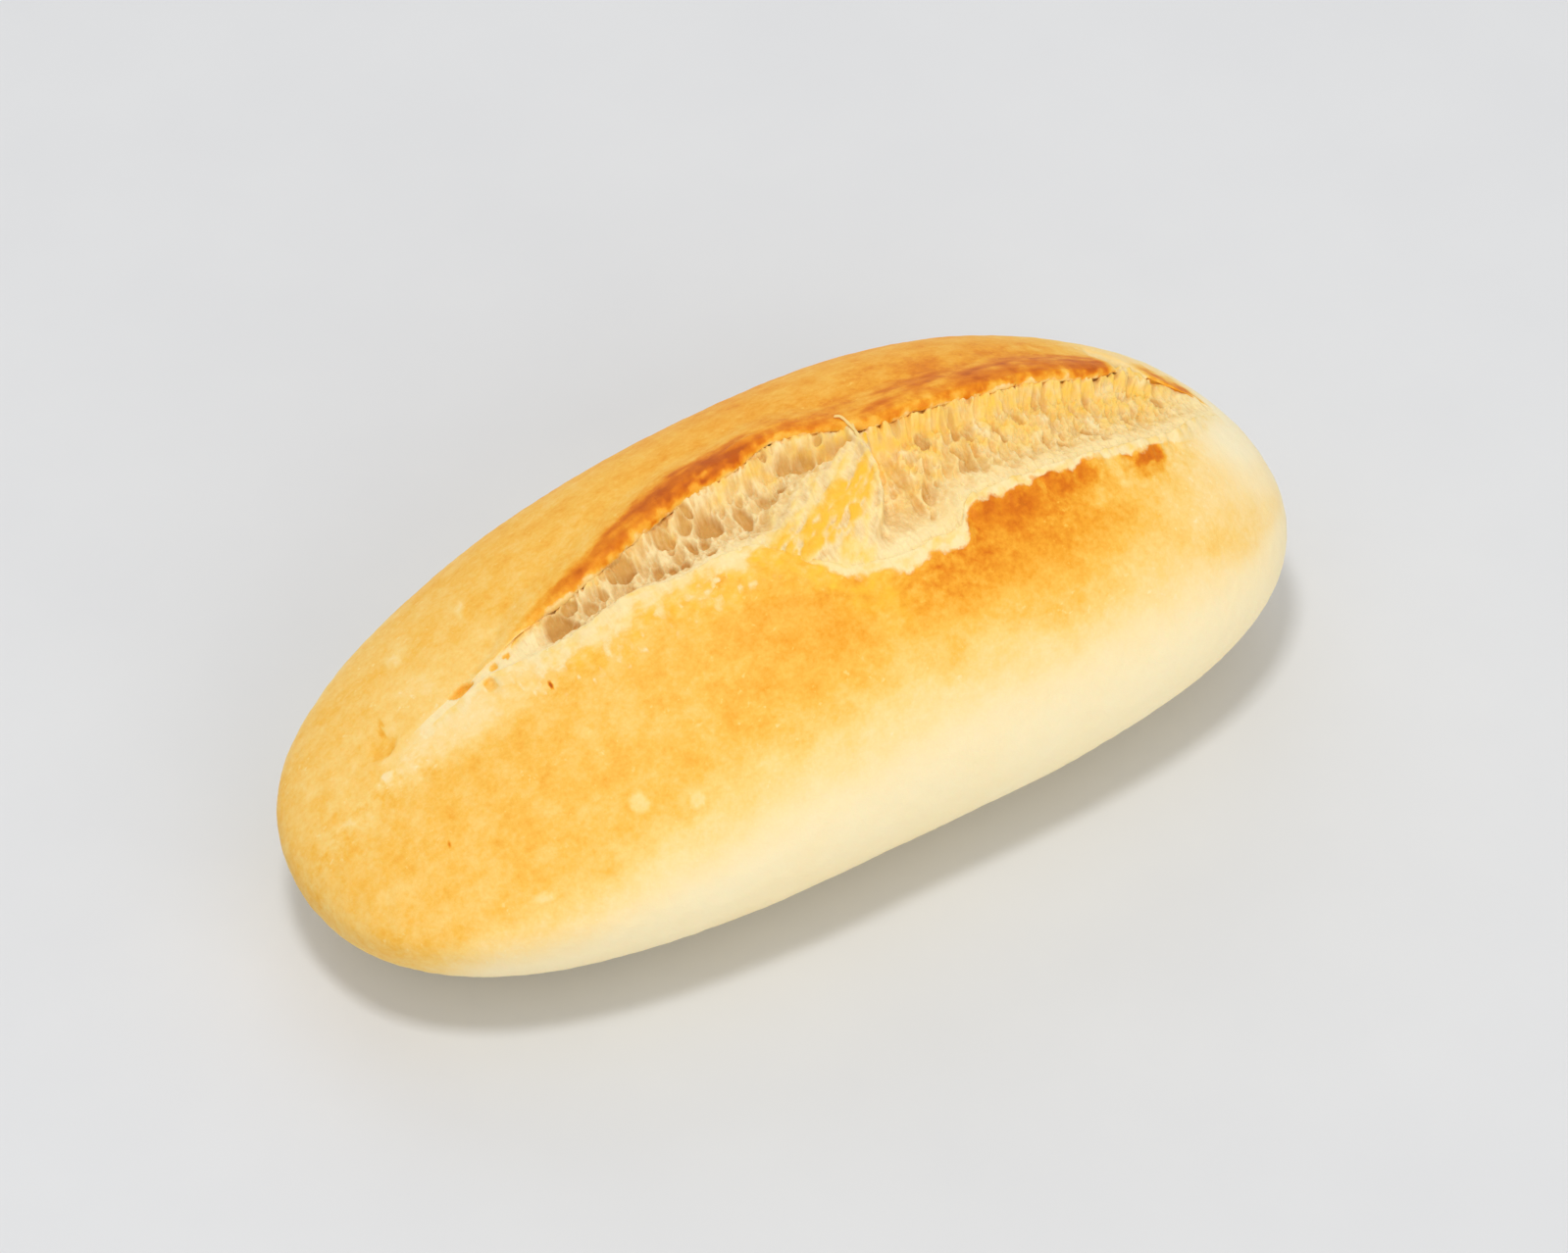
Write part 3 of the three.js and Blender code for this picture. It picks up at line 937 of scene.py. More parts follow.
    def looks(self, grid: SkinGrid, points: Array, band: Array, masks: list[Array],
              grain: Grain) -> dict[str, Array]:
        """Works out what the finish reads at each place of the skin.

        Args:
            grid: the skin's places.
            points: the finished points.
            band: the scored band's points with its relief, but before the skin's swellings.
            masks: where each of MARKS lies.
            grain: noise that breaks the looks up.

        Returns:
            The values by name.
        """
        x, tongue, degrees = grid.x, self.score.tongue, np.degrees(grid.turn)
        degrees = np.where(degrees > 270, degrees - 360, degrees)
        ear_gap, lip_gap = self.gaps(grid)
        edge, faded = self.frayed_ear(grid, band, grain)
        browning = self.browning.at(points, degrees, ear_gap, lip_gap, grain)
        browning = browning - grid.whole((self.browning.ear.at(x) - self.browning.under_ear) * faded)
        strap = tongue.at(x, grid.straight_y) * tongue.crust(x, grid.straight_y, grain.soft(band, 2.6))
        left_end = ease(x, *self.torn_from)
        torn = self.torn(x, points, lip_gap, grain) * (1 - grid.whole(strap))
        torn = torn * left_end * ease(x, *self.torn_to)
        inside = grid.whole(grid.on(Part.VALLEY)) > 0
        torn = np.where(inside, np.maximum(grid.openness, 0.8 * left_end * ease(x, 80, 74)), torn)
        torn = np.maximum(torn, grid.whole(edge))
        golden = self.golden(points, lip_gap, grain) * (1 - torn)
        deep = np.zeros_like(torn)
        for mark, mask in zip(MARKS, masks):
            browning = browning + mark.bake * mask
            torn = np.clip(torn + mark.bare * mask, 0, 1)
            deep = np.maximum(deep, mark.deep * mask)
            golden = np.maximum(golden, 0.9 * mark.deep * mask)
        browning = browning - 0.1 * golden * (1 - torn)
        toasted = grid.whole(edge * (0.75 + 0.5 * grain.rough(band, 2.0, 2)))
        golden = np.maximum(golden, np.clip(toasted, 0, 1))
        rim = torn * ease(lip_gap, 8, 4) * (0.25 + 0.1 * ease(x, -2, 6) + grain.rough(points + 15, 2.0, 3))
        return {
            "browning": browning,
            "torn": torn,
            "wall": 0.92 - deep,
            "toast": np.maximum(golden, np.clip(rim, 0, 1)),
            "grit": np.maximum(ease(lip_gap, 12, 1), ease(ear_gap, 9, 1) * 0.15),
            "fibre": 0.3 + deep,
        }

    def frayed_ear(self, grid: SkinGrid, band: Array, grain: Grain) -> tuple[Array, Array]:
        """How the crust gives way to crumb down the ear's rolled edge.

        Args:
            grid: the skin's places.
            band: the scored band's points with its relief.
            grain: noise that frays the edge.

        Returns:
            How torn the roll is, and how far its dark shade has faded.
        """
        x, step, roll = grid.x, grid.step, grid.on(Part.ROLL)
        outer_parts = np.maximum(ease(x, 10, 24), 0.8 * ease(x, -26, -33))
        start = mix(0.36, 0.3, outer_parts) - 0.14 * ease(x, -20, -30)
        shaggy = 0.3 * grid.ragged + 0.2 * grain.rough(band + 23, 2.2, 3)
        edge = self.burr * ease(step + shaggy, start, start + 0.35) * (1 - ease(x, 67.5, 70))
        closed = self.burr * ease(x, -39, -44) * ease(x, -64, -56) * ease(step, 0.1, 0.5)
        edge = np.maximum(np.where(roll, edge * grid.openness, 0), np.where(roll, closed, 0))
        return edge, np.where(roll, ease(step + 1.3 * shaggy, 0.08, 0.5) * grid.openness, 0)

    def golden(self, points: Array, lip_gap: Array, grain: Grain) -> Array:
        """Yellower crust in patches in front of the lip's left part and round the strap's root.

        Args:
            points: places on the skin.
            lip_gap: millimetres in front of the lip line.
            grain: noise that breaks it into patches.

        Returns:
            How golden each place is, 0 to about 1.
        """
        x = points[..., 0]
        strip = ease(lip_gap + 2 * grain.rough(points + 44, 5.0, 2), 10, 3)
        strip = strip * ease(x, *self.golden_from) * ease(x, *self.golden_to)
        return strip * (0.75 + 0.8 * grain.rough(points + 3, 2.2, 3))

    def torn(self, x: Array, points: Array, lip_gap: Array, grain: Grain) -> Array:
        """Pale stretched dough along the lip: 1 on its crest, fading a few millimetres in front.

        Args:
            x: places along the loaf.
            points: places on the skin.
            lip_gap: millimetres in front of the lip line.
            grain: noise that ravels the edge.

        Returns:
            How torn the skin is, 0 to 1.
        """
        reach = self.cream.at(x)
        ravel = grain.rough(points, 4.5, 4) * (0.6 + 0.6 * reach)
        rim = 0.8 * ease(lip_gap + ravel, 1.45 * reach + 0.3, 0.2 * reach)
        patches = ease(grain.rough(points + 70, 2.4, 3), 0.05, 0.6) * ease(x, -2, -10)
        return np.maximum(rim, 0.55 * patches * ease(lip_gap, reach + 7.5, reach + 1.5))


@dataclass(frozen=True)
class Pore:
    """One large pore of the crumb: an oval dish, in millimetres."""

    x: float
    y: float
    half_along: float
    half_across: float
    deep: float
    tan: float  # how much painted shade darkens its floor

    def over(self, flat: Array) -> Array:
        """Mask of the pore: 1 on its floor, 0 outside its rim, over places (along, across)."""
        ahead, aside = flat[..., 0] - self.x, flat[..., 1] - self.y
        return ease(np.hypot(ahead / self.half_along, aside / self.half_across), 1.1, 0.6)


# Each row: middle along and across, half sizes, depth, and the painted shade on its floor.
PORES = tuple(Pore(*row) for row in (
    (-11.0, 4.0, 2.1, 3.3, 1.3, 1.0), (-6.1, 1.8, 1.1, 3.2, 1.0, 0.9),
    (-1.9, 2.0, 1.2, 2.2, 0.9, 0.8), (1.5, 2.5, 0.8, 1.0, 0.8, 1.0),
    (-0.6, 1.5, 0.8, 1.4, 0.8, 1.0), (6.9, 5.1, 2.4, 1.8, 0.9, 0.85),
    (4.3, 6.5, 1.6, 1.4, 0.7, 0.8), (14.2, 5.9, 1.5, 0.6, 0.7, 1.3),
    (10.4, 6.2, 0.9, 0.7, 0.6, 0.9), (1.9, 8.2, 0.8, 0.8, 0.8, 1.1),
    (-5.1, -3.0, 1.3, 2.4, 0.8, 0.8), (-17.9, 6.1, 1.3, 2.6, 0.9, 0.85),
    (-15.2, 1.9, 0.7, 2.2, 0.9, 0.9), (-13.4, 1.1, 0.6, 1.6, 0.8, 0.9),
    (-21.6, 1.4, 1.0, 1.6, 1.0, 1.0), (-19.9, 0.0, 0.7, 1.2, 0.9, 1.0),
    (-17.9, -0.7, 0.8, 1.3, 1.0, 1.0), (-14.0, -2.8, 1.0, 1.0, 0.7, 0.9),
    (-25.4, 5.2, 2.0, 2.3, 1.1, 1.05), (-27.4, 5.4, 0.9, 1.2, 0.8, 1.0),
    (-22.9, 7.8, 2.4, 1.1, 0.6, 1.3), (-35.0, 4.5, 1.6, 1.0, 0.8, 1.3),
    (-38.0, 2.9, 2.4, 2.7, 1.1, 1.3), (-36.1, 1.4, 0.9, 1.3, 0.9, 1.1),
    (-32.7, 2.6, 1.3, 1.4, 0.6, 0.8), (-30.1, 3.3, 0.9, 1.0, 0.5, 0.8),
    (-12.3, 7.6, 0.8, 1.1, 0.8, 1.1), (27.4, 3.9, 1.9, 1.5, 0.5, 0.9),
    (25.3, -1.0, 1.2, 1.8, 0.9, 1.2), (22.2, 2.6, 1.0, 2.4, 0.6, 0.8),
    (37.7, -3.6, 0.6, 2.8, 0.8, 1.0), (22.8, -9.7, 0.7, 1.6, 0.8, 1.1),
    (21.0, -8.8, 0.6, 1.3, 0.7, 1.0), (18.5, -4.0, 1.5, 5.0, 0.5, 0.75),
    (14.0, -13.0, 4.4, 4.6, 0.2, 0.4), (28.9, -5.5, 0.7, 2.2, 0.7, 0.9),
    (32.4, -2.2, 0.8, 2.2, 0.7, 0.9), (42.3, -2.0, 0.8, 1.6, 0.7, 0.9),
    (38.3, -12.0, 0.7, 1.2, 0.5, 0.9), (46.0, -9.8, 0.8, 1.4, 0.6, 0.9),
    (51.6, -8.1, 0.9, 1.6, 0.7, 1.0), (60.9, -6.4, 0.9, 1.4, 0.6, 0.9),
    (68.4, -2.2, 1.0, 1.2, 0.7, 1.3),
))


@dataclass(frozen=True)
class BedGrid:
    """Where the bed's points lie before its relief: a row for each ring, from the ear to the lip."""

    along: Array  # -1 at the left tip to 1 at the right tip
    x: Array
    turn: Array  # angle round the section
    skin: Array  # points of the smooth loaf
    out: Array
    straight_y: Array  # places across the loaf, measured as on a straight one
    across: Array  # millimetres in front of the ear's edge
    span: Array  # millimetres from edge to edge
    warp: Array  # two noises that bend the patterns

    @property
    def where(self) -> Array:
        """Share of the way from the ear to the lip."""
        return self.across / self.span

    @property
    def past_lip(self) -> Array:
        """Millimetres in front of the lip."""
        return np.maximum(0, self.across - self.span)

    @property
    def leftness(self) -> Array:
        """1 over the score's frothy left part, 0 over its stringy right part."""
        return ease(self.x, 16, 8)

    @property
    def lean(self) -> Array:
        """Places along the loaf on lines that lean to the right as they cross the score."""
        return self.x + 0.3 * self.across


@dataclass(frozen=True)
class StrapCover:
    """What the bridging strap does at each place of the bed."""

    mask: Array
    crusted: Array
    blistered: Array
    ridge: Array  # the drawn-out cream edge on its right


@dataclass
class CrumbBed:
    """The torn crumb that fills the score, with its pores, its fibres and the bridging strap."""

    form: LoafForm
    score: Score
    browning: Browning = field(default_factory=Browning)
    left: float = -45.5
    right: float = 77.5
    length_steps: int = 640
    across_steps: int = 150
    under_steps: int = 4
    tuck_ear: float = 0.7  # how far behind the ear's line the bed starts
    tuck_lip: float = 1.8  # how far it runs on under the lip
    under_share: float = 1.2  # the underside lies below the smooth skin by this share of the depth,
    floor_drop: float = 2.2  # by this where the score is open
    base_sink: float = 1.8  # and by this everywhere
    pore_depth: float = 1.5
    fibre_height: float = 0.28
    fibre_left: float = 0.35  # share of it that the frothy left part has
    crust_share: float = 0.5  # browning that the strap's crust reaches at most
    comb: tuple[float, float] = (0.76, 0.65)  # direction that the strap's blisters are drawn out in
    ridge: Line = Line((
        (-17.3, 2.2), (-15, 5.2), (-13.2, 7.2), (-11.8, 9.1), (-9.8, 10.8), (-7.3, 12.2), (-3.2, 13.9),
        (0.7, 14.6), (4.3, 15.0), (8, 15.2),
    ))  # from across to along: the drawn-out cream edge on the strap's right
    ridge_lift: Line = Line(((-17, 0.0), (-13, 0.2), (-9, 0.5), (-2, 0.8), (8, 0.6)))

    def lay_out(self, grain: Grain) -> BedGrid:
        """Places the rings evenly along the score, and their points evenly from ear to lip.

        Args:
            grain: noise that makes the score's edges stray and bends the patterns.

        Returns:
            The grid on the smooth loaf.
        """
        form = self.form
        x = np.linspace(self.left, self.right, self.length_steps)[:, None]
        along = x / (form.length / 2)
        t = np.linspace(0, 1, self.across_steps)[None, :]
        ear, lip = self.score.edges(form, x, grain)
        share = mix(ear, lip, t) - mix(-self.tuck_ear, self.tuck_lip, t) * self.score.rim(form, x)
        turn = form.turn_at(share)
        skin = form.smooth(along, turn)
        across = (ear - share) * form.half_width
        span = np.maximum((ear - lip) * form.half_width, 1.0)
        warp = np.stack([grain.soft(skin, 2.6), grain.soft(skin + 50, 2.6)], axis=-1)
        out = form.outward(along, turn)
        return BedGrid(along, x + 0 * t, turn, skin, out, skin[..., 1] + form.middle, across, span, warp)

    def build(self, grain: Grain) -> Surface:
        """Shapes the bed: the valley's profile, cut by bubbles and combed into fibres.

        Args:
            grain: noise for the bubbles, fibres and swellings.

        Returns:
            The closed surface with its crumb values.
        """
        grid = self.lay_out(grain)
        cut, tan = self.pores(grid, grain)
        fibres = self.fibres(grid, grain)
        cover = self.strap(grid, grain)
        lift = self.lift(grid, cut, fibres, cover, grain)
        points = grid.skin + grid.out * lift[..., None]
        pick = np.round(np.linspace(1, 0, self.under_steps + 2)[1:-1] * (self.across_steps - 1)).astype(int)
        depth, openness = self.score.depth.at(grid.x[:, :1]), self.score.openness(grid.x[:, :1])
        sink = depth * self.under_share + self.floor_drop * openness + self.base_sink
        base = self.form.smooth(grid.along, grid.turn[:, pick]) - grid.out[:, pick] * sink[..., None]
        values = self.looks(grid, points, tan, fibres, cover, grain)
        return Surface.facing_out(np.concatenate([points, base], axis=1), values)

    def pores(self, grid: BedGrid, grain: Grain) -> tuple[Array, Array]:
        """Cuts the pores: layers of froth, the smallest ones everywhere, then each of PORES.

        Args:
            grid: the bed's places.
            grain: the scattered seeds of the froth.

        Returns:
            How deep each place lies in a pore, and how much painted shade darkens it there.
        """
        x, warp, across_loaf = grid.x, grid.warp, grid.skin[..., 1]
        flat = np.stack([grid.lean, across_loaf], axis=-1)
        left, right, middle = grid.leftness, 1 - grid.leftness, ease(np.abs(x - 25), 15, 8)
        cut = np.zeros_like(x)
        for zone, cell, bend, apart, deep in (  # where, cells' width along and across, how bent, shift, depth
            (left, (2.3, 4.4), 0.6, 0, 0.8),
            (left, (1.2, 2.8), 0.4, 90, 0.7),
            (right, (1.2, 2.8), 0.4, 90, 0.5),
            (right, (1.3, 5.5), 0.5, 40, 0.75),
            (middle, (2.2, 7.5), 0.6, 71, 0.95),
        ):
            depth, luck = grain.bubbles(flat + bend * warp + apart, cell)
            cut = np.maximum(cut, deep * depth * luck * zone)
        depth, luck = grain.bubbles(flat + 0.3 * warp + 33, (0.7, 1.4))
        cut = np.maximum(cut, 0.35 * depth * (luck > 0.5))
        cut = cut * (1 - 0.8 * ease(x, -37.5, -43))
        # Painted shade: the deeper a place lies in a pore, the darker its colour.
        tan = np.clip(1.1 * cut, 0, 1)
        wander = np.stack([x, across_loaf], axis=-1) + 0.45 * warp
        for pore in PORES:
            mask = pore.over(wander)
            cut = np.maximum(cut * (1 - 0.7 * mask), pore.deep * mask)
            tan = np.maximum(tan * (1 - 0.5 * mask), pore.tan * mask)
        inner = ease(grid.where + 0.1 * warp[..., 0], -0.12, 0.0)
        inner = inner * ease(grid.where + 0.09 * warp[..., 1], 0.96, 0.74)
        return cut * inner, tan * inner

    def fibres(self, grid: BedGrid, grain: Grain) -> Array:
        """Two layers of noise drawn out across the score, the second finer and weaker.

        Args:
            grid: the bed's places.
            grain: the noise.

        Returns:
            The strings' relief, about -1 to 1.
        """
        flat = 0 * grid.across
        coarse = grain.soft(np.stack([grid.lean, grid.across * 0.14, flat], axis=-1), 0.8)
        return coarse + 0.6 * grain.soft(np.stack([grid.lean + 7, grid.across * 0.1, flat], axis=-1), 0.42)

    def fibre_share(self, grid: BedGrid) -> Array:
        """How strong the fibres are, full on the right."""
        return mix(1.0, self.fibre_left, grid.leftness)

    def strap(self, grid: BedGrid, grain: Grain) -> StrapCover:
        """Where the bridging strap lies, where it keeps its crust, and how that is blistered.

        Args:
            grid: the bed's places.
            grain: noise that frays and blisters it.

        Returns:
            The strap's cover over the bed.
        """
        x, straight_y, tongue = grid.x, grid.straight_y, self.score.tongue
        frayed = 0.5 * grid.warp[..., 0] + 0.7 * grain.rough(grid.skin + 21, 1.7, 2)
        mask = tongue.at(x, straight_y + frayed) * self.score.openness(x)
        ahead, side = self.comb
        combed = [side * x - ahead * straight_y, 0.4 * (ahead * x + side * straight_y), 0 * x]
        blistered = grain.rough(np.stack(combed, axis=-1), 1.9, 3)
        crusted = tongue.crust(x, straight_y, grid.warp[..., 1]) * ease(blistered, -0.7, 0.1)
        ridge = ease(np.abs(x - self.ridge.at(straight_y) + 0.45 * frayed), 0.95, 0.25)
        ridge = ridge * ease(straight_y, -17.5, -15) * ease(straight_y, 8.6, 7.4)
        return StrapCover(mask, crusted, blistered, ridge)

    def lift(self, grid: BedGrid, cut: Array, fibres: Array, cover: StrapCover,
             grain: Grain) -> Array:
        """How far the bed's top lies outside the smooth loaf.

        The crumb follows the score's profile with lumps, pores and fibres, tucks up under the
        ear's rolled edge, sinks at the score's ends and past the lip, and carries the strap.

        Args:
            grid: the bed's places.
            cut: how deep each place lies in a pore.
            fibres: the strings' relief.
            cover: the strap.
            grain: noise for the crumbly surface.

        Returns:
            Millimetres along the outward direction, mostly below 0.
        """
        score, x, across, past_lip = self.score, grid.x, grid.across, grid.past_lip
        openness = score.openness(x)
        lift = score.lumps(x, grid.straight_y, grid.where) - score.depth.at(x) * score.profile(grid.where)
        crumbly = 0.22 * grain.rough(grid.skin, 0.9, 2)
        tucked = ease(across, 4.6, 1.9) * openness
        lift = mix(lift, score.ear_lift.at(x) - 1.35 * score.ear_roll.at(x) * openness, tucked)
        combed = self.fibre_height * fibres * self.fibre_share(grid)
        lift = lift + openness * (crumbly + combed - self.pore_depth * cut)
        ends = ease(x, self.left, self.left + 3) * ease(x, self.right, self.right - 2)
        lift = lift - 0.5 * past_lip - 0.8 * (1 - ends)

        bare = 1 - cover.crusted
        strap = score.tongue.rise + 0.14 * fibres * (1.4 - cover.crusted) + 0.3 * cover.blistered
        under_skin = ease(across - grid.span, -0.6, 0.6)
        strap = strap - under_skin * (0.25 + 0.3 * past_lip) - (1 - under_skin) * 0.25 * bare
        lift = mix(lift, strap, cover.mask)
        ridge = self.ridge_lift.at(grid.straight_y) + 0.2 * cover.blistered - under_skin * 0.5
        return mix(lift, ridge, cover.ridge)

    def looks(self, grid: BedGrid, points: Array, tan: Array, fibres: Array,
              cover: StrapCover, grain: Grain) -> dict[str, Array]:
        """Works out what the finish reads at each place of the bed.

        Args:
            grid: the bed's places.
            points: the finished points of its top.
            tan: how much painted shade darkens the pores' floors.
            fibres: the strings' relief.
            cover: the strap.
            grain: noise that breaks the looks up.

        Returns:
            The values by name, with plain ones for the hidden underside.
        """
        x, where, warp, leftness = grid.x, grid.where, grid.warp, grid.leftness
        blistered, crusted, ridge, strap = cover.blistered, cover.crusted, cover.ridge, cover.mask
        broad = 0.2 * ease(np.abs(x - 24), 7, 3)
        cream = ease(where + 0.07 * warp[..., 1], 0.76 - broad, 0.94 - broad)
        cream = np.maximum(np.maximum(cream, 0.85 * ease(x, -38.5, -43.5)), 0.9 * ease(x, 69, 75))
        # Low wall values take the pore colour: painted shade in the pores.
        wall = np.clip(0.86 - 0.9 * tan + 0.1 * fibres * self.fibre_share(grid), 0, 1)
        wall = mix(wall, 1.0, cream * 0.85)
        wall = mix(wall, 0.9 + 0.5 * blistered, np.maximum(ridge, strap * (1 - crusted)))
        toast = ease(where + 0.12 * warp[..., 0] + 0.06 * fibres, mix(0.85, 0.4, leftness), 0.0)
        patchy = 0.5 + 0.9 * grain.rough(points + 12, 3.0, 3)
        toast = toast * patchy * mix(1.0, 1.3, leftness)
        toast = toast + (1 - leftness) * (1 - 0.85 * where) * (0.35 + 0.6 * patchy)
        toast = np.clip(toast * (1 - 0.8 * tan) * (1 - 0.8 * ease(x, 68, 75)), 0, 1)
        golden = np.clip(0.35 + 0.5 * crusted + 0.9 * blistered, 0, 1)
        far = np.full_like(x, FAR)
        browning = self.browning.at(points, np.degrees(grid.turn), far, grid.across - grid.span, grain)
        plain = np.ones_like(x)
        pairs = {  # on top, and underneath
            "browning": (np.minimum(browning, self.crust_share + 0.25 * blistered), 0.5),
            "torn": (np.maximum(1 - strap * crusted, 0.8 * ridge), 1.0),
            "wall": (wall, 0.5),
            "toast": (mix(toast, golden, np.maximum(strap, 0.8 * ridge)), 0.0),
            "grit": (plain, 0.0),
            "fibre": (plain, 0.0),
        }
        under = (self.length_steps, self.under_steps)
        return {key: np.concatenate([top, np.full(under, low)], axis=1) for key, (top, low) in pairs.items()}


@dataclass(frozen=True)
class Strand:
    """A thread of dough drawn across the score: places (x, y, lift) from end to end."""

    places: tuple[tuple[float, float, float], ...]
    thick: float
    thin: float


@dataclass
class Strands:
    """The threads of dough that the tearing score drew out."""

    form: LoafForm
    threads: tuple[Strand, ...] = (
        Strand((
            (14.2, 7.0, 1.2), (14.9, 6.2, 1.4), (15.2, 4.6, 1.0), (15.3, 2.6, 0.7), (15.1, 0.6, 0.4),
        ), thick=0.3, thin=0.2),
        Strand((
            (16.0, 5.0, 0.6), (15.4, 3.4, 0.8), (14.8, 1.0, 0.6), (14.2, -2.6, 0.4),
        ), thick=0.25, thin=0.15),
    )
    steps: int = 60
    around: int = 10
    flatness: float = 0.7  # thickness as a share of the width
    looks: tuple[tuple[str, float], ...] = (
        ("browning", 0.3), ("torn", 1.0), ("wall", 0.7), ("toast", 0.5), ("grit", 0.5), ("fibre", 0.3),
    )

    def build(self, grain: Grain) -> list[Surface]:
        """Sweeps an oval section along every thread.

        Args:
            grain: noise that makes the threads uneven.

        Returns:
            One closed surface for each thread.
        """
        return [self.thread(strand, grain, k) for k, strand in enumerate(self.threads)]

    def thread(self, strand: Strand, grain: Grain, lane: int) -> Surface:
        """One thread: ovals about its curve, from the thick end to the thin one, drawn in at both.

        Args:
            strand: its places and thickness.
            grain: noise that makes it uneven.
            lane: which of the noise's lanes it follows.

        Returns:
            The closed surface.
        """
        share = np.linspace(0, 1, self.steps)
        knots = np.linspace(0, 1, len(strand.places))
        x, y, lift = (Line(tuple(zip(knots, column))).at(share) for column in zip(*strand.places))
        middle, out = self.above(x, y, lift)
        heading = np.gradient(middle, axis=0)
        heading = heading / np.linalg.norm(heading, axis=1, keepdims=True)
        side = np.cross(heading, out)
        turn = np.linspace(0, 2 * math.pi, self.around, endpoint=False)[None, :, None]
        radius = mix(strand.thick, strand.thin, share) * (1 + 0.35 * grain.along(share * 9, 1.3, 5.0 * lane))
        radius = (radius * (0.3 + 0.7 * ease(share, 0, 0.08) * ease(share, 1, 0.92)))[:, None, None]
        oval = np.cos(turn) * side[:, None] + self.flatness * np.sin(turn) * out[:, None]
        rings = middle[:, None] + radius * oval
        return Surface(rings, {key: np.full(rings.shape[:2], value) for key, value in self.looks})

    def above(self, x: Array, y: Array, lift: Array) -> tuple[Array, Array]:
        """Points that far above the smooth skin over (x, y), and the way out of it there.

        Args:
            x: places along the loaf.
            y: places across it.
            lift: millimetres above the smooth skin.

        Returns:
            The points, and the outward directions there.
        """
        along = x / (self.form.length / 2)
        turn = np.full_like(x, math.pi / 2)
        for _ in range(12):  # each round turns by nine tenths of the miss as a share of the half width
            miss = self.form.smooth(along, turn)[..., 1] - y
            turn = turn + 0.9 * miss / self.form.half_width
        out = self.form.outward(along, turn)
        return self.form.smooth(along, turn) + out * lift[..., None], out


# ---------------------------------------------------------------- finishes


class Socket:
    """A shader value that can be used in sums: each operator adds its Math node."""

    def __init__(self, nodes: "Nodes", socket: "bpy.types.NodeSocket | None") -> None:
        """Wraps one output socket of the tree that nodes builds."""
        self.nodes = nodes
        self.socket = socket

    def _math(self, operation: str, *others: "Socket | float", clamp: bool = False) -> "Socket":
        """Result of one Math node on these inputs."""
        settings = {"operation": operation, "use_clamp": clamp}
        return self.nodes.add("ShaderNodeMath", settings, dict(enumerate(others)))

    def __add__(self, other: "Socket | float") -> "Socket":
        """Sum."""
        return self._math("ADD", self, other)

    __radd__ = __add__

    def __mul__(self, other: "Socket | float") -> "Socket":
        """Product."""
        return self._math("MULTIPLY", self, other)

    __rmul__ = __mul__

    def __sub__(self, other: "Socket | float") -> "Socket":
        """Difference."""
        return self._math("SUBTRACT", self, other)

    def __rsub__(self, other: "Socket | float") -> "Socket":
        """Difference from a number."""
        return self._math("SUBTRACT", other, self)

    def held(self) -> "Socket":
        """The value kept between 0 and 1."""
        return self._math("ADD", self, 0.0, clamp=True)

    def eased(self, low: float, high: float) -> "Socket":
        """Smooth step from low to high."""
        ends = {"Value": self, "From Min": low, "From Max": high}
        return self.nodes.add("ShaderNodeMapRange", {"interpolation_type": "SMOOTHSTEP"}, ends)


class Nodes:
    """Builds one material's node tree."""

    def __init__(self, name: str) -> None:
        """Makes an empty material with a tree."""
        self.material = bpy.data.materials.new(name)
        self.material.use_nodes = True
        self.tree = self.material.node_tree
        self.tree.nodes.clear()

    def add(self, kind: str, settings: dict | None = None, inputs: dict | None = None,
            out: str | int = 0) -> Socket:
        """Adds a node.

        Args:
            kind: the node's type name.
            settings: its properties; stops is a colour ramp's list of (place, colour).
            inputs: values or links of its sockets, by name or place.
            out: which of its outputs to give back.

        Returns:
            That output, or an empty socket for a node without one.
        """
        node = self.tree.nodes.new(kind)
        for key, value in (settings or {}).items():
            if key == "stops":
                ramp = node.color_ramp
                while len(ramp.elements) < len(value):
                    ramp.elements.new(0.5)
                for element, (place, colour) in zip(ramp.elements, value):
                    element.position = place
                    element.color = colour
            else:
                setattr(node, key, value)
        for key, value in (inputs or {}).items():
            if isinstance(value, Socket):
                self.tree.links.new(value.socket, node.inputs[key])
            else:
                node.inputs[key].default_value = value
        return Socket(self, node.outputs[out] if node.outputs else None)

    def attribute(self, name: str) -> Socket:
        """The mesh's own value of that name."""
        return self.add("ShaderNodeAttribute", {"attribute_name": name}, out="Fac")

    def place(self) -> Socket:
        """Object coordinates, in metres."""
        return self.add("ShaderNodeTexCoord", out="Object")

    def noise(self, place: Socket, size_mm: float, detail: float = 2.0, rough: float = 0.5) -> Socket:
        """Cloudy noise from 0 to 1 whose swellings are size_mm wide."""
        inputs = {"Vector": place, "Scale": 1 / (size_mm * MM), "Detail": detail, "Roughness": rough}
        return self.add("ShaderNodeTexNoise", {}, inputs, out="Fac")

    def stretched(self, place: Socket, share: float) -> Socket:
        """The same places squeezed across the loaf, so that noise on them is drawn out that way."""
        return self.add("ShaderNodeMapping", {}, {"Vector": place, "Scale": (1.0, share, share)})

    def blend(self, share: Socket | float, first: "Socket | tuple", second: "Socket | tuple") -> Socket:
        """Mixes two colours."""
        return self.add("ShaderNodeMix", {"data_type": "RGBA"}, {0: share, 6: first, 7: second}, out=2)

    def ramp(self, value: Socket, stops: list[tuple[float, tuple[float, float, float, float]]]) -> Socket:
        """Colour ramp."""
        return self.add("ShaderNodeValToRGB", {"stops": stops}, {"Fac": value}, out="Color")

    def finish(self, surface: Socket) -> bpy.types.Material:
        """Joins the surface shader to the output."""
        self.add("ShaderNodeOutputMaterial", {}, {"Surface": surface})
        return self.material


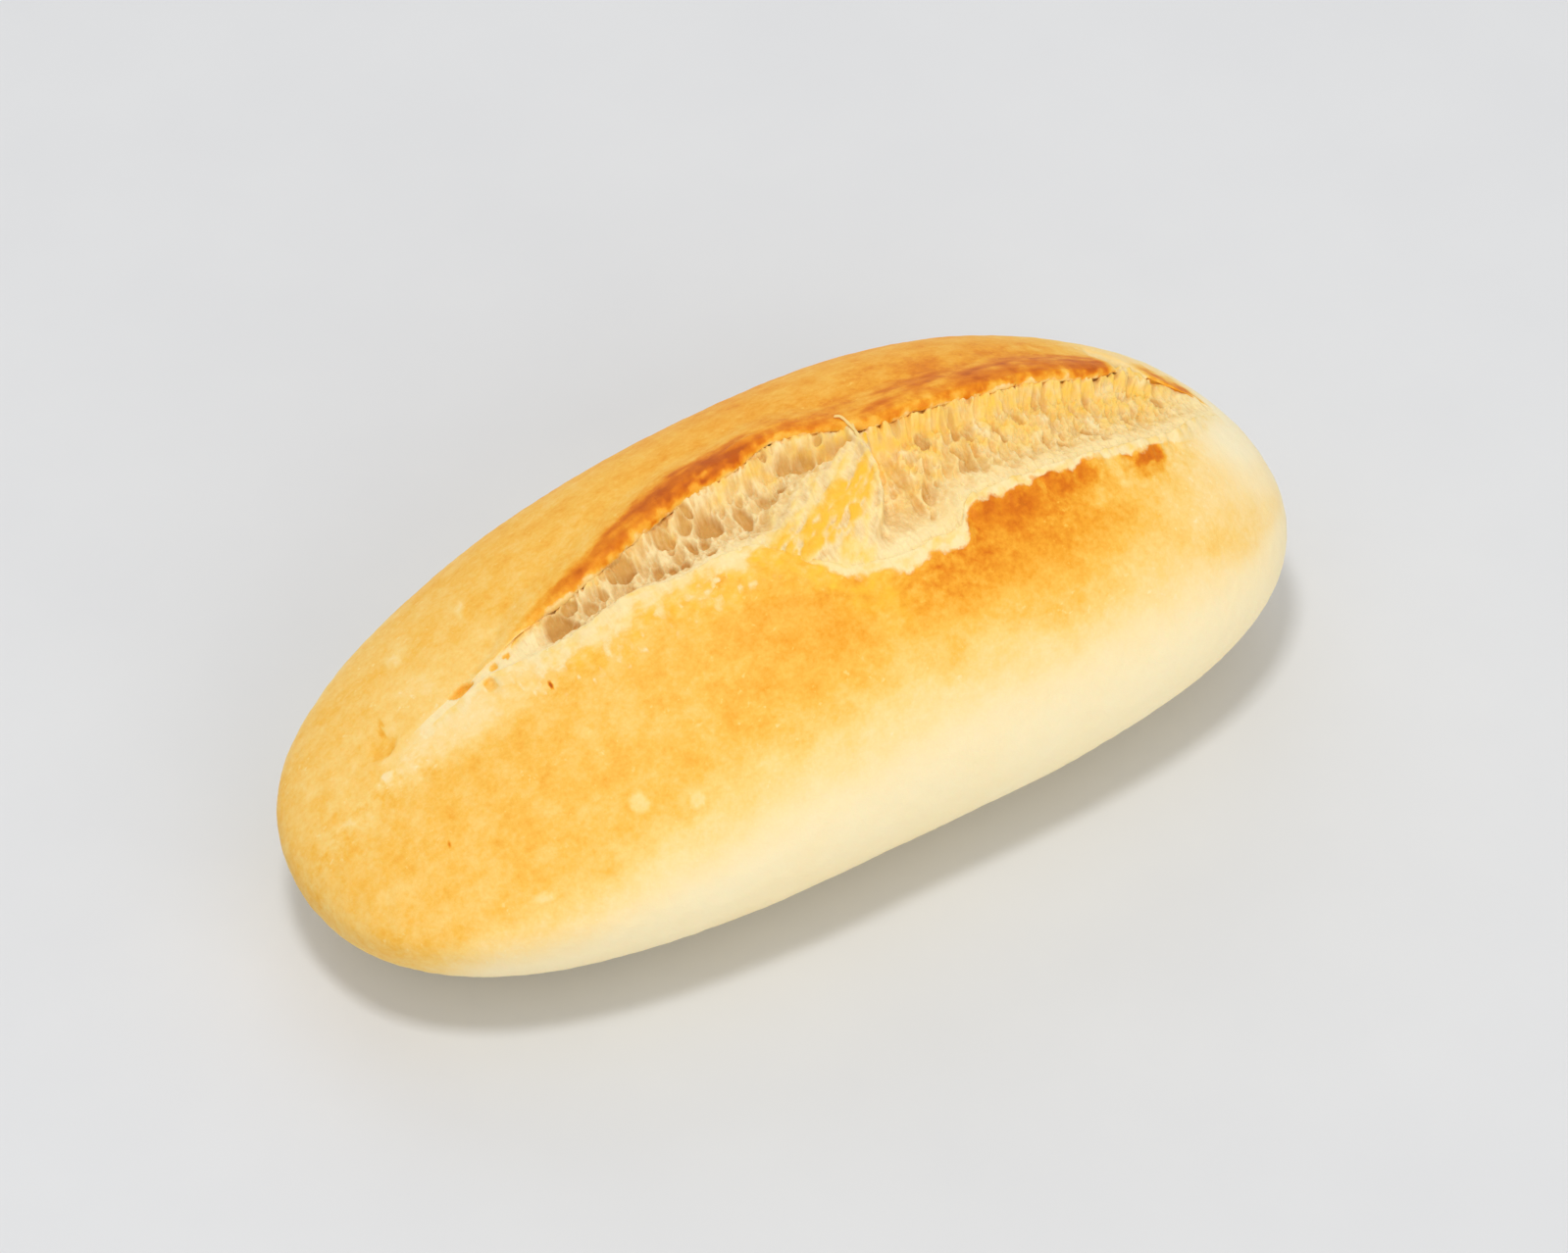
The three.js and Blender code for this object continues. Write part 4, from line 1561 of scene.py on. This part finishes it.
def shade(code: str) -> tuple[float, float, float, float]:
    """Opaque linear colour of a six-letter sRGB code.

    Args:
        code: two hexadecimal digits each for red, green and blue.

    Returns:
        Red, green, blue and alpha.
    """
    channels = [int(code[k:k + 2], 16) / 255 for k in (0, 2, 4)]
    return (*(c / 12.92 if c <= 0.04045 else ((c + 0.055) / 1.055) ** 2.4 for c in channels), 1.0)


@dataclass(frozen=True)
class BreadFinish:
    """Baked crust and torn crumb in one finish, so that they meet without a seam."""

    crust_stops: tuple[tuple[float, str], ...] = (
        (0.0, "ffefc4"), (0.2, "ffe09e"), (0.38, "fdd278"), (0.54, "fabf4e"), (0.68, "f4a72c"),
        (0.8, "e98c16"), (0.9, "da740a"), (1.0, "c05a08"),
    )
    golden: str = "fcc63a"
    # The pores' colour, darker than the walls: painted shade in the pores; the skin's browned fibres use it
    # too.
    pore: str = "d9a75c"
    string: str = "fee7ae"
    toasted: str = "fbcd5a"
    strings: float = 1.15  # contrast of the crumb's fine strings
    comb: float = 0.22  # places are squeezed to this share across the score, which draws the strings out
    mottle: float = 0.21
    grit: float = 0.45
    fleck: float = 0.16
    crust_roughness: float = 0.56
    crumb_roughness: float = 0.85
    shine: float = 0.18
    bump: float = 0.25
    bump_height: float = 0.0004
    glow: float = 0.08  # how much light passes through the dough, and how far, in metres
    glow_reach: float = 0.002

    def build(self) -> bpy.types.Material:
        """Wires the material.

        Returns:
            The material: browning picks the crust's colour, torn swaps it for crumb.
        """
        n = Nodes("bread")
        place = n.place()
        browning, torn, wall, toast, grit, fibre = (n.attribute(name) for name in VALUES)
        cloud = n.noise(place, 4.5, 4.0, 0.6)
        blotch = n.noise(place, 1.5, 3.0, 0.55)
        fine = n.noise(place, 0.7, 3.0, 0.6)
        fleck = n.noise(place, 1.1).eased(0.63, 0.76) * n.noise(place, 9.0).eased(0.42, 0.62)
        streaks = n.noise(n.stretched(place, self.comb), 0.55, 3.0, 0.6)
        uneven = self.mottle * (2 * (cloud - 0.5) + (fine - 0.5)) + (0.15 + self.grit * grit) * (blotch - 0.5)
        steady = browning.eased(-0.05, 0.45) * (1.0 - 0.6 * browning.eased(0.74, 0.9))
        baked = browning + steady * (uneven - self.fleck * fleck)
        crust = n.ramp(baked.held(), [(at, shade(code)) for at, code in self.crust_stops])
        gilt = (toast * 0.6 + 1.6 * toast * (blotch - 0.5)).held()
        crust = n.blend(gilt, crust, shade(self.golden))
        strung = wall + 0.3 * (fine - 0.5) + self.strings * fibre * (streaks - 0.5)
        # Low wall values give the pore colour, which paints shade into the pores.
        crumb = n.blend(strung.held(), shade(self.pore), shade(self.string))
        warmed = (toast * 0.8 + 1.2 * toast * (blotch - 0.5)).held()
        crumb = n.blend(warmed, crumb, shade(self.toasted))
        ravel = 1.4 * (blotch - 0.5) + 0.5 * (fine - 0.5) + 0.5 * fibre * (streaks - 0.5)
        ravel = torn.eased(0.0, 0.3) * ravel
        colour = n.blend((torn * 1.3 + ravel * (1.6 - torn)).eased(0.15, 0.95), crust, crumb)
        rough = self.crust_roughness + (self.crumb_roughness - self.crust_roughness) * torn
        height = 0.6 * fine + 0.4 * n.noise(place, 0.3, 2.0, 0.6) + 0.9 * streaks * torn * fibre
        relief = {"Strength": self.bump, "Distance": self.bump_height, "Height": height}
        return n.finish(n.add("ShaderNodeBsdfPrincipled", {}, {
            "Base Color": colour,
            "Roughness": rough,
            "Normal": n.add("ShaderNodeBump", {}, relief),
            "Specular IOR Level": self.shine,
            "Subsurface Weight": self.glow,
            "Subsurface Scale": self.glow_reach,
        }))


@dataclass(frozen=True)
class FloorFinish:
    """Plain pale matte ground."""

    colour: str = "dadbdd"
    second: str = "e0e1e2"
    cloud_mm: float = 40.0
    roughness: float = 0.9

    def build(self) -> bpy.types.Material:
        """Wires the material with a faint cloudiness."""
        n = Nodes("pale_ground")
        cloud = n.noise(n.place(), self.cloud_mm, 3.0, 0.6)
        tone = n.blend(cloud, shade(self.colour), shade(self.second))
        looks = {"Base Color": tone, "Roughness": self.roughness}
        return n.finish(n.add("ShaderNodeBsdfPrincipled", {}, looks))


# ---------------------------------------------------------------- studio


class Lamp(Enum):
    """The studio's soft boxes: right, away and up from the loaf and size, in metres, then watts."""

    KEY = (-0.12, -0.3, 1.5, 0.25, 7.6)
    FILL = (1.3, -1.9, 0.9, 2.0, 19.0)
    BACK = (-0.5, 1.8, 1.2, 1.5, 7.2)


@dataclass(frozen=True)
class Studio:
    """Camera, ground and lights."""

    elevation: float = 45.0
    azimuth: float = -33.0
    distance: float = 1.2
    lens: float = 182.0
    sensor: float = 36.0
    aim: tuple[float, float, float] = (0.00038, -0.00048, 0.0260)
    world_strength: float = 0.56
    ground_reach: float = 3.0

    def axes(self) -> tuple[Vector, Vector, Vector]:
        """The camera's right, up and backward directions.

        Returns:
            The three unit vectors.
        """
        lift, turn = math.radians(self.elevation), math.radians(self.azimuth)
        back = Vector((math.sin(turn) * math.cos(lift), -math.cos(turn) * math.cos(lift), math.sin(lift)))
        right = Vector((math.cos(turn), math.sin(turn), 0.0))
        return right, back.cross(right), back

    def place_camera(self) -> None:
        """Stands the camera off along its viewing direction."""
        right, up, back = self.axes()
        data = bpy.data.cameras.new("camera")
        data.sensor_width = self.sensor
        data.lens = self.lens
        data.clip_end = 20.0
        camera = bpy.data.objects.new("camera", data)
        camera.matrix_world = Matrix.Translation(Vector(self.aim) + back * self.distance) @ Matrix(
            (right, up, back)).transposed().to_4x4()
        bpy.context.scene.collection.objects.link(camera)
        bpy.context.scene.camera = camera

    def lay_floor(self) -> None:
        """A wide ground sheet at the loaf's base."""
        mesh = bpy.data.meshes.new("ground")
        ways = ((-1, -1), (1, -1), (1, 1), (-1, 1))
        spots = [(x * self.ground_reach, y * self.ground_reach, 0) for x, y in ways]
        mesh.from_pydata(spots, [], [(0, 1, 2, 3)])
        floor = bpy.data.objects.new("ground", mesh)
        floor.data.materials.append(FloorFinish().build())
        bpy.context.scene.collection.objects.link(floor)

    def hang_lamps(self) -> None:
        """Soft boxes that look at the loaf, placed along the camera's own directions over the ground."""
        right, _, back = self.axes()
        toward = Vector((back.x, back.y, 0)).normalized()
        for lamp in Lamp:
            side, away, height, size, power = lamp.value
            data = bpy.data.lights.new(lamp.name.lower(), "AREA")
            data.size = size
            data.energy = power
            light = bpy.data.objects.new(lamp.name.lower(), data)
            light.location = right * side - toward * away + Vector((0, 0, height))
            light.rotation_euler = light.location.to_track_quat("Z", "Y").to_euler()
            bpy.context.scene.collection.objects.link(light)

    def build(self) -> None:
        """Sets up the whole studio."""
        self.place_camera()
        self.lay_floor()
        self.hang_lamps()
        world = bpy.data.worlds.new("studio")
        world.use_nodes = True
        world.node_tree.nodes["Background"].inputs["Color"].default_value = (1.0, 1.0, 1.0, 1.0)
        world.node_tree.nodes["Background"].inputs["Strength"].default_value = self.world_strength
        bpy.context.scene.world = world
        bpy.context.scene.view_settings.view_transform = "Standard"


# ---------------------------------------------------------------- assembly


def dress(piece: bpy.types.Object, material: bpy.types.Material) -> None:
    """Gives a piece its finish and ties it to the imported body.

    Args:
        piece: the finished mesh object.
        material: what it is made of.
    """
    piece.data.materials.append(material)
    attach(piece, BODY)
    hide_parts(NODE)
    log.info("%s: %d faces", piece.name, len(piece.data.polygons))


def main() -> None:
    """Builds the pieces in order."""
    logging.basicConfig(level=logging.INFO, format="%(name)s %(message)s")
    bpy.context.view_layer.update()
    low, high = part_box(NODE)
    form = LoafForm(length=(high.x - low.x) / MM, width=(high.y - low.y) / MM)
    score = Score()
    grain = Grain(41)
    bread = BreadFinish().build()
    pieces = {
        "crust_skin": [CrustSkin(form, score).build(grain)],
        "crumb_bed": [CrumbBed(form, score).build(grain)],
        "crumb_strands": Strands(form).build(grain),
    }
    for name, surfaces in pieces.items():
        dress(build_piece(name, surfaces, low, high), bread)
    Studio().build()


if __name__ == "__main__":
    main()
